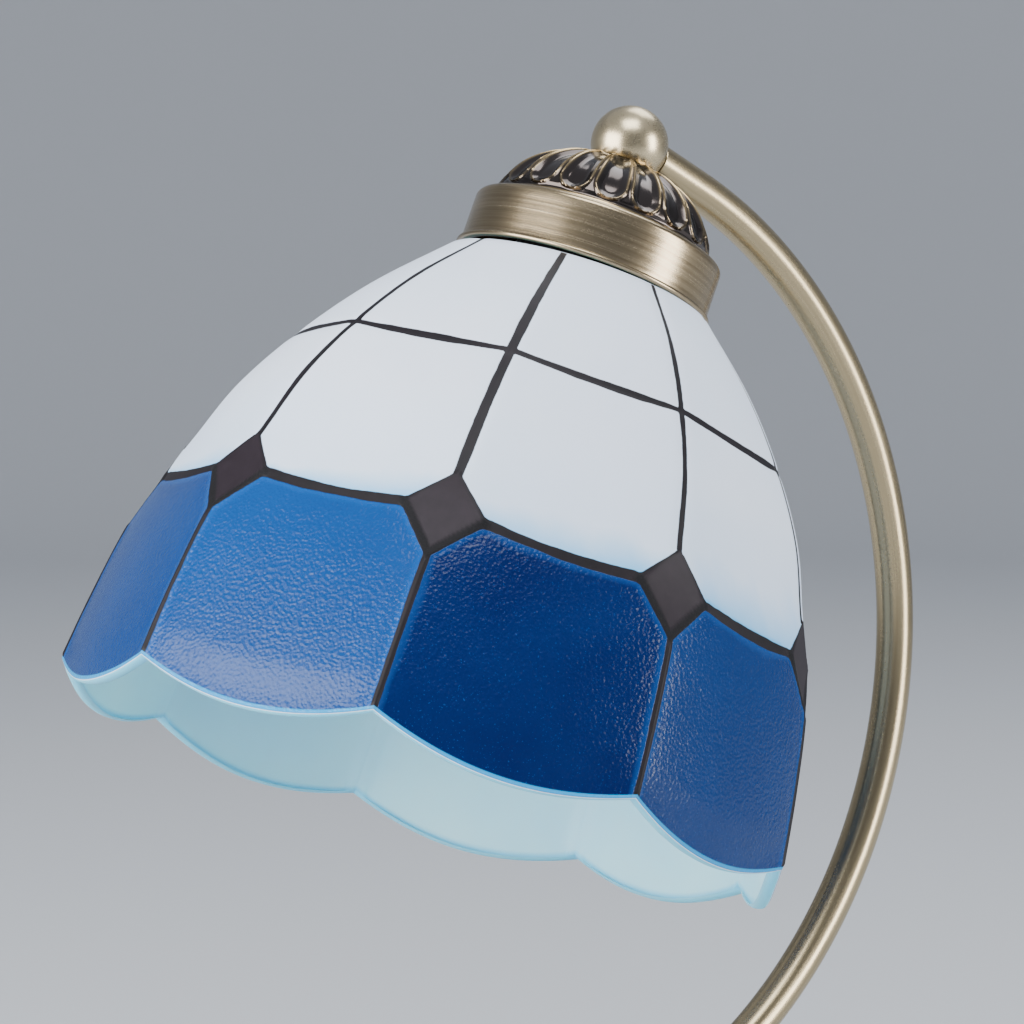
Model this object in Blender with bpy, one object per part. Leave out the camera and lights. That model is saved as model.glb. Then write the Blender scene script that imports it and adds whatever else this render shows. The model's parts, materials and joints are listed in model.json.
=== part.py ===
"""Table lamp: a painted pressed-glass shade hung from a brass arm on a weighted round base.

Metres, +Z up.  The origin is the middle of the felt pad's underside.  The arm bulges towards
+X and the shade's mouth leans towards -X.  The head is built in its own frame: the upper
ball's centre is its origin and the cap's axis is its Z.  The glass has another, because it
hangs in the head as loosely as its hole lets it.
"""
import math

import bmesh
import bpy
from mathutils import Matrix, Vector

MM = 0.001
GAP = 0.3 * MM                      # air between two pieces that touch

# Arm: one arc of round tube with straight ends, between two equal balls, one above the other
TUBE_R = 5.0 * MM
TUBE_BORE_R = 4.0 * MM
ARM_R = 132.0 * MM                  # radius of the arc's centre line
ARM_DROP = 129.5 * MM               # arc's centre below the upper ball
ARM_BACK = 35.9 * MM                # and behind it, towards -X
ARM_STRAIGHT = math.sqrt(ARM_BACK ** 2 + ARM_DROP ** 2 - ARM_R ** 2)    # ball's centre to arc
ARM_HALF_ANGLE = math.atan2(ARM_DROP, ARM_BACK) - math.atan2(ARM_STRAIGHT, ARM_R)
BALL_R = 10.0 * MM
TUBE_SINK = 5.6 * MM                # tube's end and nipples' tops, from the ball's centre

# Head: its tilt in the arm's plane and lean out of it, and levels below the upper ball's centre
HEAD_TILT = math.radians(23.2)
HEAD_LEAN = math.radians(1.4)
CAP_R = 32.9 * MM
CAP_TOP = -24.4 * MM
CAP_LIP = -39.2 * MM
CAP_WALL = 1.0 * MM
CAP_ROLL_R = 0.6 * MM               # rolled lip's radius
DOME_R = 28.6 * MM
DOME_RISE = 19.2 * MM               # height the dome would have without its seat
DOME_SEAT_R = 8.6 * MM              # hole that the ball sits in
DOME_WALL = 1.6 * MM
FLUTES = 18

# Glass: nine flat gores between ribs, in a frame that hangs from a point near the ball's centre
GLASS_TILT = math.radians(22.4)
GLASS_SHIFT = -2.4 * MM
GORES = 9
RIB_PHASE = math.radians(22.1)      # direction of one rib about the glass's axis
GLASS_T = 3.4 * MM
GLASS_HOLE_R = 22.4 * MM
GLASS_TOP = -39.7 * MM
GLASS_SHOULDER_R = 33.4 * MM
NECK = (35.0 * MM, -40.1 * MM)      # rib's radius and level
CROSSBAR = (65.1 * MM, -73.8 * MM)
DIAMOND_TOP = (82.0 * MM, -108.7 * MM)
DIAMOND_MID = (86.4 * MM, -119.5 * MM)
DIAMOND_LOW = (89.5 * MM, -132.0 * MM)
CUSP = (95.0 * MM, -169.4 * MM)
DIAMOND_FLAT_R = 84.9 * MM          # where the diamond's flat meets the rib's own plane
DIAMOND_HALF = math.radians(7.7)
PILLOW = 2.0 * MM                   # how far a gore's middle stands off its chord
SCALLOP = 6.5 * MM

# Lampholder and bulb, on the head's axis
NIPPLE_R = 5.0 * MM
NIPPLE_BORE_R = 3.5 * MM
NIPPLE_HOLE_R = NIPPLE_R + GAP
HOLDER_R = 19.6 * MM
HOLDER_TOP = -33.0 * MM
HOLDER_JOIN = -52.0 * MM
HOLDER_MOUTH = -76.0 * MM
SCREW_R = 13.6 * MM                 # clear radius inside the screw shell
BULB_TIP = -54.1 * MM
BULB_CAP_LENGTH = 25.9 * MM
GLOBE_R = 22.5 * MM
BULB_LENGTH = 75.0 * MM

# Base: the cap's own dome and band again, on a pressed shell with a cast weight
FELT_T = 2.0 * MM
FELT_R = 71.0 * MM
PLATE_Z = FELT_T + GAP
PLATE_T = 2.0 * MM
SHELL_R = 75.0 * MM
SHELL_TOP = 19.5 * MM
SHELL_WALL = 1.2 * MM
WEIGHT_R = 57.0 * MM
WEIGHT_Z = PLATE_Z + PLATE_T + GAP
WEIGHT_T = 6.4 * MM
LOWER_BALL_Z = SHELL_TOP + GAP - CAP_LIP
UPPER_BALL_Z = LOWER_BALL_Z + 2 * ARM_DROP
SCREW_RING_R = 45.0 * MM
SCREW_SHANK_R = 1.8 * MM
SCREW_HEAD_R = 3.6 * MM

# Push-button switch on the base, and the lead's outlet behind
SWITCH_X = -57.0 * MM
BUTTON_R = 3.8 * MM
BUTTON_TRAVEL = 3.0 * MM
OUTLET_Z = 9.0 * MM
OUTLET_R = 4.0 * MM
OUTLET_BORE_R = 2.8 * MM

LEAD_R = 1.6 * MM

MATERIALS = {
    "antique_brass": ((0.47, 0.39, 0.25, 1.0), 0.32, 1.0),
    "dark_brass": ((0.20, 0.17, 0.14, 1.0), 0.28, 1.0),
    "bright_brass": ((0.78, 0.60, 0.30, 1.0), 0.25, 1.0),
    "painted_glass": ((0.72, 0.79, 0.84, 1.0), 0.25, 0.0),
    "steel": ((0.55, 0.55, 0.56, 1.0), 0.35, 1.0),
    "cast_iron": ((0.10, 0.10, 0.11, 1.0), 0.70, 1.0),
    "bakelite": ((0.03, 0.03, 0.03, 1.0), 0.40, 0.0),
    "porcelain": ((0.85, 0.84, 0.80, 1.0), 0.25, 0.0),
    "silicone": ((0.75, 0.75, 0.73, 1.0), 0.60, 0.0),
    "felt": ((0.05, 0.05, 0.06, 1.0), 0.95, 0.0),
    "bulb_glass": ((0.92, 0.92, 0.90, 1.0), 0.20, 0.0),
    "aluminium": ((0.75, 0.75, 0.76, 1.0), 0.30, 1.0),
    "lead_sheath": ((0.04, 0.04, 0.04, 1.0), 0.50, 0.0),
}


def clear_scene():
    for old in list(bpy.data.objects):
        bpy.data.objects.remove(old, do_unlink=True)


def material(name):
    """The named Principled material, made once."""
    found = bpy.data.materials.get(name)
    if found:
        return found
    color, roughness, metallic = MATERIALS[name]
    made = bpy.data.materials.new(name)
    made.use_nodes = True
    shader = made.node_tree.nodes["Principled BSDF"]
    shader.inputs["Base Color"].default_value = color
    shader.inputs["Roughness"].default_value = roughness
    shader.inputs["Metallic"].default_value = metallic
    made.diffuse_color = color
    return made


def empty(name, location, rotation=(0.0, 0.0, 0.0), parent=None):
    made = bpy.data.objects.new(name, None)
    made.location = location
    made.rotation_euler = rotation
    made.parent = parent
    made.empty_display_size = 0.01
    bpy.context.collection.objects.link(made)
    return made


def finish_mesh(bm, name):
    """Turn a bmesh into a mesh with outward faces and smooth round sides."""
    bmesh.ops.recalc_face_normals(bm, faces=bm.faces)
    mesh = bpy.data.meshes.new(name)
    bm.to_mesh(mesh)
    bm.free()
    mesh.shade_smooth()
    mesh.set_sharp_from_angle(angle=math.radians(35))
    return mesh


def place(name, mesh, look, parent=None, location=(0.0, 0.0, 0.0), rotation=(0.0, 0.0, 0.0)):
    """One sub-part: a named object with its material, at its place under its parent."""
    if not mesh.materials:
        mesh.materials.append(material(look))
    made = bpy.data.objects.new(name, mesh)
    made.location = location
    made.rotation_euler = rotation
    made.parent = parent
    bpy.context.collection.objects.link(made)
    return made


def on_circle(radius, level, angle):
    return Vector((radius * math.cos(angle), radius * math.sin(angle), level))


def turned(name, profile, segments=32, at=on_circle):
    """Turn (radius, level) points about Z.

    A profile that starts and ends on the axis makes a solid, and any other is a closed loop
    that makes a ring.  at(radius, level, angle) places one point.
    """
    bm = bmesh.new()
    angles = [2 * math.pi * i / segments for i in range(segments)]
    rows = []
    for radius, level in profile:
        if radius == 0:
            rows.append([bm.verts.new((0.0, 0.0, level))])
        else:
            rows.append([bm.verts.new(at(radius, level, angle)) for angle in angles])
    solid = len(rows[0]) == 1
    pairs = list(zip(rows, rows[1:]))
    if not solid:
        pairs.append((rows[-1], rows[0]))
    for upper, lower in pairs:
        for i in range(segments):
            j = (i + 1) % segments
            if len(upper) == 1:
                bm.faces.new((upper[0], lower[i], lower[j]))
            elif len(lower) == 1:
                bm.faces.new((upper[i], lower[0], upper[j]))
            else:
                bm.faces.new((upper[i], lower[i], lower[j], upper[j]))
    return finish_mesh(bm, name)


def ring(name, inner_r, outer_r, low, high, segments=32, at=on_circle):
    loop = [(inner_r, high), (outer_r, high), (outer_r, low), (inner_r, low)]
    return turned(name, loop, segments, at)


def disc(name, radius, low, high, segments=32):
    return turned(name, [(0, high), (radius, high), (radius, low), (0, low)], segments)


def hex_nut(name, bore_r, flat_r, low, high):
    """A six-sided nut; flat_r is half its width across the flats."""
    def at(radius, level, angle):
        if radius > bore_r:
            corner = math.radians(60)
            radius /= math.cos((angle % corner) - corner / 2)
        return on_circle(radius, level, angle)
    return ring(name, bore_r, flat_r, low, high, 24, at)


def arc(centre, radius, start_deg, end_deg, steps):
    """Points on an arc in (radius, level), start and end included."""
    points = []
    for i in range(steps + 1):
        angle = math.radians(start_deg + (end_deg - start_deg) * i / steps)
        points.append((centre[0] + radius * math.cos(angle), centre[1] + radius * math.sin(angle)))
    return points


def swept(name, path, outer_r, segments, inner_r=0.0):
    """A round rod, or a pipe with open ends, along a path that lies in the XZ plane."""
    side = Vector((0.0, 1.0, 0.0))
    radii = [outer_r, inner_r] if inner_r else [outer_r]
    bm = bmesh.new()
    walls = []
    for radius in radii:
        rows = []
        for i, point in enumerate(path):
            along = (path[min(i + 1, len(path) - 1)] - path[max(i - 1, 0)]).normalized()
            across = along.cross(side)
            turn = [2 * math.pi * k / segments for k in range(segments)]
            rows.append([bm.verts.new(point + radius * (math.cos(a) * across + math.sin(a) * side))
                         for a in turn])
        for upper, lower in zip(rows, rows[1:]):
            for i in range(segments):
                j = (i + 1) % segments
                bm.faces.new((upper[i], lower[i], lower[j], upper[j]))
        walls.append(rows)
    for end in (0, -1):
        if inner_r:
            outer, inner = walls[0][end], walls[1][end]
            for i in range(segments):
                j = (i + 1) % segments
                bm.faces.new((outer[i], inner[i], inner[j], outer[j]))
        else:
            bm.faces.new(walls[0][end])
    return finish_mesh(bm, name)


def guide(made):
    """Mark an object as a cutter, which isn't part of the lamp."""
    made.hide_render = True
    made.display_type = "WIRE"
    return made


def cut(target, tool, operation="DIFFERENCE"):
    step = target.modifiers.new(tool.name, "BOOLEAN")
    step.operation = operation
    step.object = tool
    step.solver = "EXACT"


def rod_tool(name, radius, start, end, parent=None, segments=16):
    """A round cutter or filler between two points."""
    along = Vector(end) - Vector(start)
    mesh = disc(name, radius, 0.0, along.length, segments)
    mesh.transform(Matrix.Rotation(math.pi / segments * 0.7, 4, "Z"))
    made = place(name, mesh, "steel", parent, start, along.to_track_quat("Z", "Y").to_euler())
    return guide(made)


def box_mesh(name, size):
    bm = bmesh.new()
    bmesh.ops.create_cube(bm, size=1.0, matrix=Matrix.Diagonal((*size, 1.0)))
    return finish_mesh(bm, name)


# ---------------------------------------------------------------- arm

def arm_centre():
    return Vector((-ARM_BACK, 0.0, LOWER_BALL_Z + ARM_DROP))


def arm_point(angle):
    return arm_centre() + ARM_R * Vector((math.cos(angle), 0.0, math.sin(angle)))


def arm_way(side):
    """Direction of the arm's straight end out of the upper ball (side 1) or the lower (-1)."""
    return Vector((math.sin(ARM_HALF_ANGLE), 0.0, -side * math.cos(ARM_HALF_ANGLE)))


def arm_path(sink, steps):
    """The arm's centre line, from sink below the upper ball's centre to the same by the lower."""
    ends = []
    for side in (1, -1):
        ball = Vector((0.0, 0.0, LOWER_BALL_Z + ARM_DROP + side * ARM_DROP))
        ends.append(ball + arm_way(side) * sink)
    turns = [ARM_HALF_ANGLE * (1 - 2 * i / steps) for i in range(steps + 1)]
    return [ends[0]] + [arm_point(angle) for angle in turns] + [ends[1]]


def build_ball(name, centre, nipple_down, to_arm):
    """A drilled ball: one bore for its nipple, one for the arm, and a way through for the lead.

    nipple_down and to_arm are the directions of the nipple and the arm from the centre.
    """
    ball = place(name, sphere(name), "antique_brass", None, centre)
    beyond = 2 * BALL_R
    for label, way in (("nipple", nipple_down), ("arm", to_arm)):
        socket = rod_tool(f"{name}_{label}_socket", NIPPLE_HOLE_R,
                          centre + way * (TUBE_SINK - GAP), centre + way * beyond)
        passage = rod_tool(f"{name}_{label}_passage", NIPPLE_BORE_R,
                           centre - way * NIPPLE_BORE_R, centre + way * beyond, segments=12)
        cut(ball, socket)
        cut(ball, passage)
    return ball


def sphere(name):
    bm = bmesh.new()
    bmesh.ops.create_uvsphere(bm, u_segments=18, v_segments=12, radius=BALL_R)
    return finish_mesh(bm, name)


def build_arm(upper_centre, lower_centre, head_down):
    tube = swept("arm_tube", arm_path(TUBE_SINK, 30), TUBE_R, 10, TUBE_BORE_R)
    place("arm_tube", tube, "antique_brass")
    build_ball("upper_ball", upper_centre, head_down, arm_way(1))
    build_ball("lower_ball", lower_centre, Vector((0, 0, -1)), arm_way(-1))


def rounded(corners, radius, steps=3):
    """A path through corner points, with each inner corner turned at this radius."""
    path = [corners[0]]
    for before, corner, after in zip(corners, corners[1:], corners[2:]):
        back = (before - corner).normalized()
        ahead = (after - corner).normalized()
        half = back.angle(ahead) / 2
        reach = radius / math.tan(half)
        centre = corner + (back + ahead).normalized() * radius / math.sin(half)
        first = corner + back * reach - centre
        last = corner + ahead * reach - centre
        for i in range(steps + 1):
            spoke = first.lerp(last, i / steps)
            path.append(centre + spoke.normalized() * radius)
    path.append(corners[-1])
    return path


# ---------------------------------------------------------------- head

def cap_dome_mesh():
    """The cast dome: a thin fluted shell, open below, with a seat for the ball on top."""
    base = CAP_TOP + GAP
    depth = 0.5 * MM

    def skin(inset, steps):
        """The half ellipse's points from the seat down to the foot, moved in by inset."""
        wide = DOME_R - inset
        tall = DOME_RISE - inset
        seat = math.acos(DOME_SEAT_R / wide)
        turns = [seat * (1 - i / steps) for i in range(steps + 1)]
        return [(wide * math.cos(a), base + tall * math.sin(a)) for a in turns]

    outside = skin(0.0, 6)
    ridged = outside[1:-1]

    def fluted(radius, level, angle):
        if (radius, level) in ridged:
            radius += depth * math.cos(FLUTES * angle)
        return on_circle(radius, level, angle)

    return turned("cap_dome", outside + skin(DOME_WALL, 3)[::-1], 2 * FLUTES, fluted)


def cap_band_mesh():
    """The plain band: a spun cup, open below, with a rolled lip."""
    edge = 1.6 * MM
    corner = (CAP_R - edge, CAP_TOP - edge)
    outside = arc(corner, edge, 90, 0, 3)
    roll = (CAP_R + 0.4 * MM, CAP_LIP + CAP_ROLL_R)
    loop = [(NIPPLE_HOLE_R, CAP_TOP)] + outside + arc(roll, CAP_ROLL_R, 90, -90, 2)
    loop += [(CAP_R - CAP_WALL, CAP_LIP), (CAP_R - CAP_WALL, CAP_TOP - edge)]
    loop += [(CAP_R - edge, CAP_TOP - CAP_WALL), (NIPPLE_HOLE_R, CAP_TOP - CAP_WALL)]
    return turned("cap_band", loop, 36)


def glass_mesh():
    """The shade: a ribbed bell whose gores are slightly pillowed, with a scalloped rim.

    Columns stand on each rib, on both side corners of its diamond, and on two points between.
    """
    ribs = [NECK, (50.8 * MM, -55.5 * MM), CROSSBAR, (74.8 * MM, -90.0 * MM), DIAMOND_TOP,
            DIAMOND_MID, DIAMOND_LOW, (92.7 * MM, -151.0 * MM), CUSP]
    half = math.pi / GORES
    corner = half - DIAMOND_HALF
    offsets = [-half, -corner, -corner / 3, corner / 3, corner]
    angles = [RIB_PHASE + half + 2 * half * gore + a for gore in range(GORES) for a in offsets]
    columns = [a for _ in range(GORES) for a in offsets]

    def skin_point(index, column, inset):
        radius, level = ribs[index]
        before = ribs[max(index - 1, 0)]
        after = ribs[min(index + 1, len(ribs) - 1)]
        slope = (after[0] - before[0]) / (before[1] - after[1])
        a = columns[column]
        share = math.tan(a) / math.tan(half)
        reach = radius * math.cos(half) / math.cos(a) + PILLOW * (1 - share ** 2)
        if ribs[index] == DIAMOND_MID and abs(a) == half:
            reach = DIAMOND_FLAT_R
        depth = max(0.0, (DIAMOND_LOW[1] - level) / (DIAMOND_LOW[1] - CUSP[1]))
        drop = SCALLOP * (1 - (a / half) ** 2) * depth ** 1.5
        reach += drop * slope - inset * math.sqrt(1 + slope ** 2)
        return on_circle(reach, level - drop, angles[column])

    bm = bmesh.new()
    rows = []
    for radius, level in ((GLASS_HOLE_R, GLASS_TOP), (GLASS_SHOULDER_R, GLASS_TOP)):
        rows.append([bm.verts.new(on_circle(radius, level, a)) for a in angles])
    for index in range(len(ribs)):
        rows.append([bm.verts.new(skin_point(index, c, 0.0)) for c in range(len(angles))])
    for index in range(len(ribs) - 1, 0, -1):
        rows.append([bm.verts.new(skin_point(index, c, GLASS_T)) for c in range(len(angles))])
    underside = GLASS_TOP - GLASS_T
    for radius in (GLASS_SHOULDER_R - 1.5 * MM, GLASS_HOLE_R):
        rows.append([bm.verts.new(on_circle(radius, underside, a)) for a in angles])
    for upper, lower in zip(rows, rows[1:] + rows[:1]):
        for i in range(len(angles)):
            j = (i + 1) % len(angles)
            bm.faces.new((upper[i], lower[i], lower[j], upper[j]))
    return finish_mesh(bm, "glass_shade")


def build_shade(head, glass):
    place("cap_dome", cap_dome_mesh(), "dark_brass", head)
    place("cap_band", cap_band_mesh(), "antique_brass", head)
    place("glass_shade", glass_mesh(), "painted_glass", glass)


def build_holder(head):
    """Nipple, nut, lampholder and the ring that carries the glass."""
    nut_top = CAP_TOP - CAP_WALL - GAP
    nut_t = 2.8 * MM
    roof_t = 2.0 * MM
    wall = 1.7 * MM
    floor = -46.0 * MM
    floor_t = 6.0 * MM
    inner_r = HOLDER_R - wall
    sleeve_r = inner_r - GAP
    bore_r = sleeve_r - 1.7 * MM
    porcelain_r = bore_r - GAP
    shell_r = SCREW_R + 0.6 * MM
    shell_low = HOLDER_MOUTH + 3.0 * MM
    contact_top = floor - floor_t - GAP
    nipple_top = -TUBE_SINK
    nipple_low = HOLDER_TOP - roof_t - 3.0 * MM
    place("head_nipple", ring("head_nipple", NIPPLE_BORE_R, NIPPLE_R, nipple_low, nipple_top, 20),
          "steel", head)
    place("cap_locknut", hex_nut("cap_locknut", NIPPLE_HOLE_R, 8.0 * MM, nut_top - nut_t, nut_top),
          "steel", head)
    edge = 1.5 * MM
    cap = [(NIPPLE_HOLE_R, HOLDER_TOP)]
    cap += arc((HOLDER_R - edge, HOLDER_TOP - edge), edge, 90, 0, 3)
    cap += [(HOLDER_R, HOLDER_JOIN), (inner_r, HOLDER_JOIN), (inner_r, HOLDER_TOP - roof_t),
            (NIPPLE_HOLE_R, HOLDER_TOP - roof_t)]
    place("holder_cap", turned("holder_cap", cap, 24), "bakelite", head)
    top = floor + 2.0 * MM
    body = [(bore_r, top), (sleeve_r, top), (sleeve_r, HOLDER_JOIN - GAP),
            (HOLDER_R, HOLDER_JOIN - GAP), (HOLDER_R, HOLDER_MOUTH), (bore_r, HOLDER_MOUTH)]
    place("holder_body", turned("holder_body", body, 24), "bakelite", head)
    liner_r = shell_r + GAP
    liner = [(0, floor), (porcelain_r, floor), (porcelain_r, shell_low - GAP),
             (liner_r, shell_low - GAP), (liner_r, floor - floor_t), (0, floor - floor_t)]
    place("holder_insulator", turned("holder_insulator", liner, 24), "porcelain", head)
    place("screw_shell", ring("screw_shell", SCREW_R, shell_r, shell_low, contact_top, 24),
          "bright_brass", head)
    contact_t = 1.5 * MM
    place("centre_contact", disc("centre_contact", 4.5 * MM, contact_top - contact_t, contact_top, 16),
          "bright_brass", head)
    washer_r = 26.5 * MM
    washer_t = 1.0 * MM
    slope = math.hypot(HEAD_TILT - GLASS_TILT, HEAD_LEAN)
    underside = GLASS_TOP - GLASS_T + GLASS_SHIFT * math.sin(GLASS_TILT)
    washer_top = underside - washer_r * slope - GAP
    collar_in = HOLDER_R + GAP
    place("shade_washer", ring("shade_washer", collar_in, washer_r, washer_top - washer_t, washer_top, 24),
          "silicone", head)
    flange_r = 27.0 * MM
    flange_top = washer_top - washer_t - GAP
    flange_low = flange_top - 1.8 * MM
    collar_r = 23.0 * MM
    collar_low = HOLDER_JOIN + 1.0 * MM
    collar = [(collar_in, flange_top), (flange_r, flange_top), (flange_r, flange_low),
              (collar_r, flange_low), (collar_r, collar_low), (collar_in, collar_low)]
    place("shade_ring", turned("shade_ring", collar, 24), "bakelite", head)


def build_bulb(head):
    """A round frosted bulb: tip, insulator, screw cap and an open-necked globe inside it."""
    tip_low = BULB_TIP - 1.5 * MM
    place("bulb_contact", disc("bulb_contact", 4.8 * MM, tip_low, BULB_TIP, 16), "aluminium", head)
    glass_top = tip_low - GAP
    glass_low = glass_top - 4.0 * MM
    cone = [(0, glass_top), (6.0 * MM, glass_top), (12.4 * MM, glass_low), (0, glass_low)]
    place("bulb_insulator", turned("bulb_insulator", cone, 24), "bakelite", head)
    cap_r = 13.1 * MM
    cap_wall = 0.5 * MM
    cap_top = glass_low - GAP
    cap_low = BULB_TIP - BULB_CAP_LENGTH
    place("bulb_cap", ring("bulb_cap", cap_r - cap_wall, cap_r, cap_low, cap_top, 24), "aluminium", head)
    globe_z = BULB_TIP - BULB_LENGTH + GLOBE_R
    neck_r = cap_r - cap_wall - GAP
    neck_top = cap_low + 5.0 * MM
    neck_low = cap_low - 2.0 * MM
    wall = 0.9 * MM
    high_deg = 48
    loop = [(neck_r, neck_top), (neck_r, neck_low)]
    loop += arc((0, globe_z), GLOBE_R, high_deg, -90, 9)[:-1]
    loop += [(0, globe_z - GLOBE_R)]
    inner = [(0, globe_z - GLOBE_R + wall)]
    inner += arc((0, globe_z), GLOBE_R - wall, -90, high_deg, 5)[1:]
    inner += [(neck_r - wall, neck_low), (neck_r - wall, neck_top)]
    place("bulb_globe", cup_turned("bulb_globe", loop, inner, 20), "bulb_glass", head)


def cup_turned(name, outside, inside, segments):
    """A turned cup: outside runs from the rim to the axis, inside from the axis to the rim."""
    bm = bmesh.new()
    angles = [2 * math.pi * i / segments for i in range(segments)]
    rows = []
    for radius, level in outside + inside:
        if radius == 0:
            rows.append([bm.verts.new((0.0, 0.0, level))])
        else:
            rows.append([bm.verts.new(on_circle(radius, level, angle)) for angle in angles])
    for upper, lower in zip(rows, rows[1:] + rows[:1]):
        for i in range(segments):
            j = (i + 1) % segments
            if len(upper) == 1 and len(lower) == 1:
                continue
            if len(upper) == 1:
                bm.faces.new((upper[0], lower[i], lower[j]))
            elif len(lower) == 1:
                bm.faces.new((upper[i], lower[0], upper[j]))
            else:
                bm.faces.new((upper[i], lower[i], lower[j], upper[j]))
    return finish_mesh(bm, name)


# ---------------------------------------------------------------- base

def build_base(foot):
    """The stand's lower end.  foot's origin is the lower ball's centre."""
    place("base_dome", cap_dome_mesh(), "dark_brass", foot)
    place("base_band", cap_band_mesh(), "antique_brass", foot)
    washer_top = SHELL_TOP - SHELL_WALL - GAP
    washer_t = 1.0 * MM
    nut_t = 3.0 * MM
    nut_top = washer_top - washer_t - GAP
    nipple_low = nut_top - nut_t - 0.8 * MM
    nipple_top = LOWER_BALL_Z - TUBE_SINK
    place("base_nipple", ring("base_nipple", NIPPLE_BORE_R, NIPPLE_R, nipple_low, nipple_top, 20),
          "steel")
    place("base_washer", ring("base_washer", NIPPLE_HOLE_R, 12.0 * MM, washer_top - washer_t, washer_top),
          "steel")
    place("base_nut", hex_nut("base_nut", NIPPLE_HOLE_R, 8.0 * MM, nut_top - nut_t, nut_top), "steel")
    build_shell()
    build_weight_and_plate()
    place("felt_pad", disc("felt_pad", FELT_R, 0.0, FELT_T, 40), "felt")


def build_shell():
    """The pressed shell: an upright rim, a rounded shoulder and a flat top."""
    shoulder = 5.5 * MM
    corner = (SHELL_R - shoulder, SHELL_TOP - shoulder)
    inner_r = SHELL_R - SHELL_WALL
    loop = [(NIPPLE_HOLE_R, SHELL_TOP)] + arc(corner, shoulder, 90, 0, 4)
    loop += [(SHELL_R, FELT_T), (inner_r, FELT_T)]
    loop += arc(corner, shoulder - SHELL_WALL, 0, 90, 2)
    loop += [(NIPPLE_HOLE_R, SHELL_TOP - SHELL_WALL)]
    shell = place("base_shell", turned("base_shell", loop, 40), "antique_brass")
    through = 10 * MM
    cut(shell, rod_tool("switch_hole", NIPPLE_HOLE_R,
                        (SWITCH_X, 0, SHELL_TOP - through / 2), (SWITCH_X, 0, SHELL_TOP + through)))
    cut(shell, rod_tool("outlet_hole", OUTLET_R + GAP,
                        (SHELL_R - through / 2, 0, OUTLET_Z), (SHELL_R + through, 0, OUTLET_Z)))


def build_weight_and_plate():
    """A cast disc, and a steel plate held to it by three flush screws."""
    hole_r = 18.0 * MM
    top = WEIGHT_Z + WEIGHT_T
    weight = place("base_weight", ring("base_weight", hole_r, WEIGHT_R, WEIGHT_Z, top, 32), "cast_iron")
    notch_size = (26 * MM, 22 * MM, 4 * WEIGHT_T)
    notch = place("switch_notch", box_mesh("switch_notch", notch_size), "steel", None,
                  (SWITCH_X, 0, WEIGHT_Z))
    cut(weight, guide(notch))
    plate_r = SHELL_R - SHELL_WALL - GAP
    plate = place("base_plate", disc("base_plate", plate_r, PLATE_Z, PLATE_Z + PLATE_T, 40), "steel")
    head_low = PLATE_Z
    head_t = 1.8 * MM
    screw_top = top - 1.0 * MM
    for index in range(3):
        angle = math.radians(120 * index)
        spot = (SCREW_RING_R * math.cos(angle), SCREW_RING_R * math.sin(angle), 0.0)
        number = index + 1
        shape = [(0, screw_top), (SCREW_SHANK_R, screw_top), (SCREW_SHANK_R, head_low + head_t),
                 (SCREW_HEAD_R, head_low + 0.2 * MM), (SCREW_HEAD_R, head_low), (0, head_low)]
        place(f"base_screw_{number}", turned(f"base_screw_{number}", shape, 16), "steel", None, spot)
        room = [(0, 2 * top), (SCREW_SHANK_R + GAP, 2 * top),
                (SCREW_SHANK_R + GAP, head_low + head_t + GAP),
                (SCREW_HEAD_R + GAP, head_low + GAP), (SCREW_HEAD_R + GAP, 0), (0, 0)]
        tool = guide(place(f"screw_room_{number}", turned(f"screw_room_{number}", room, 16), "steel",
                           None, spot))
        cut(plate, tool)
        cut(weight, tool)


def build_switch():
    """A push-button switch let into the shell's flat top; its origin is on the button's axis."""
    body_size = (18 * MM, 16 * MM, 13.3 * MM)
    body_top = SHELL_TOP - SHELL_WALL - GAP
    spot = (SWITCH_X, 0.0, 0.0)
    bush_top = SHELL_TOP + 2.6 * MM
    bore_low = SHELL_TOP - 11.0 * MM
    body = place("switch_body", box_mesh("switch_body", body_size), "bakelite", None,
                 (SWITCH_X, 0.0, body_top - body_size[2] / 2))
    bush = rod_tool("switch_bush", NIPPLE_R, (SWITCH_X, 0, body_top - 2 * MM), (SWITCH_X, 0, bush_top))
    bore = rod_tool("switch_bore", BUTTON_R + GAP, (SWITCH_X, 0, bore_low), (SWITCH_X, 0, 2 * bush_top))
    cut(body, bush, "UNION")
    cut(body, bore)
    bezel_low = SHELL_TOP + GAP
    bezel_r = 8.5 * MM
    bezel_top = bush_top - 0.4 * MM
    bezel = [(NIPPLE_HOLE_R, bezel_top), (bezel_r - 0.8 * MM, bezel_top),
             (bezel_r, bezel_top - 0.8 * MM), (bezel_r, bezel_low), (NIPPLE_HOLE_R, bezel_low)]
    place("switch_bezel", turned("switch_bezel", bezel, 24), "antique_brass", None, spot)
    button_top = bush_top + 4.2 * MM
    button_low = bore_low + BUTTON_TRAVEL + GAP
    dome_t = 0.9 * MM
    button = [(0, button_top), (BUTTON_R * 0.6, button_top - dome_t * 0.3),
              (BUTTON_R, button_top - dome_t), (BUTTON_R, button_low), (0, button_low)]
    place("switch_button", turned("switch_button", button, 16), "bright_brass", None, spot)


def build_outlet():
    """The bush where the lead leaves, at the back of the base, with the lead's way through it."""
    flange_r = 5.6 * MM
    flange_t = 1.4 * MM
    skin = SHELL_R
    inside = SHELL_R - 6.0 * MM
    outside = skin + GAP
    barrel = [(OUTLET_BORE_R, 0.0), (OUTLET_R, 0.0), (OUTLET_R, outside - inside),
              (flange_r, outside - inside), (flange_r - 0.5 * MM, outside - inside + flange_t),
              (OUTLET_BORE_R, outside - inside + flange_t)]
    place("outlet_bush", turned("outlet_bush", barrel, 16), "bakelite", None,
          (inside, 0, OUTLET_Z), (0, math.radians(90), 0))


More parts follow.
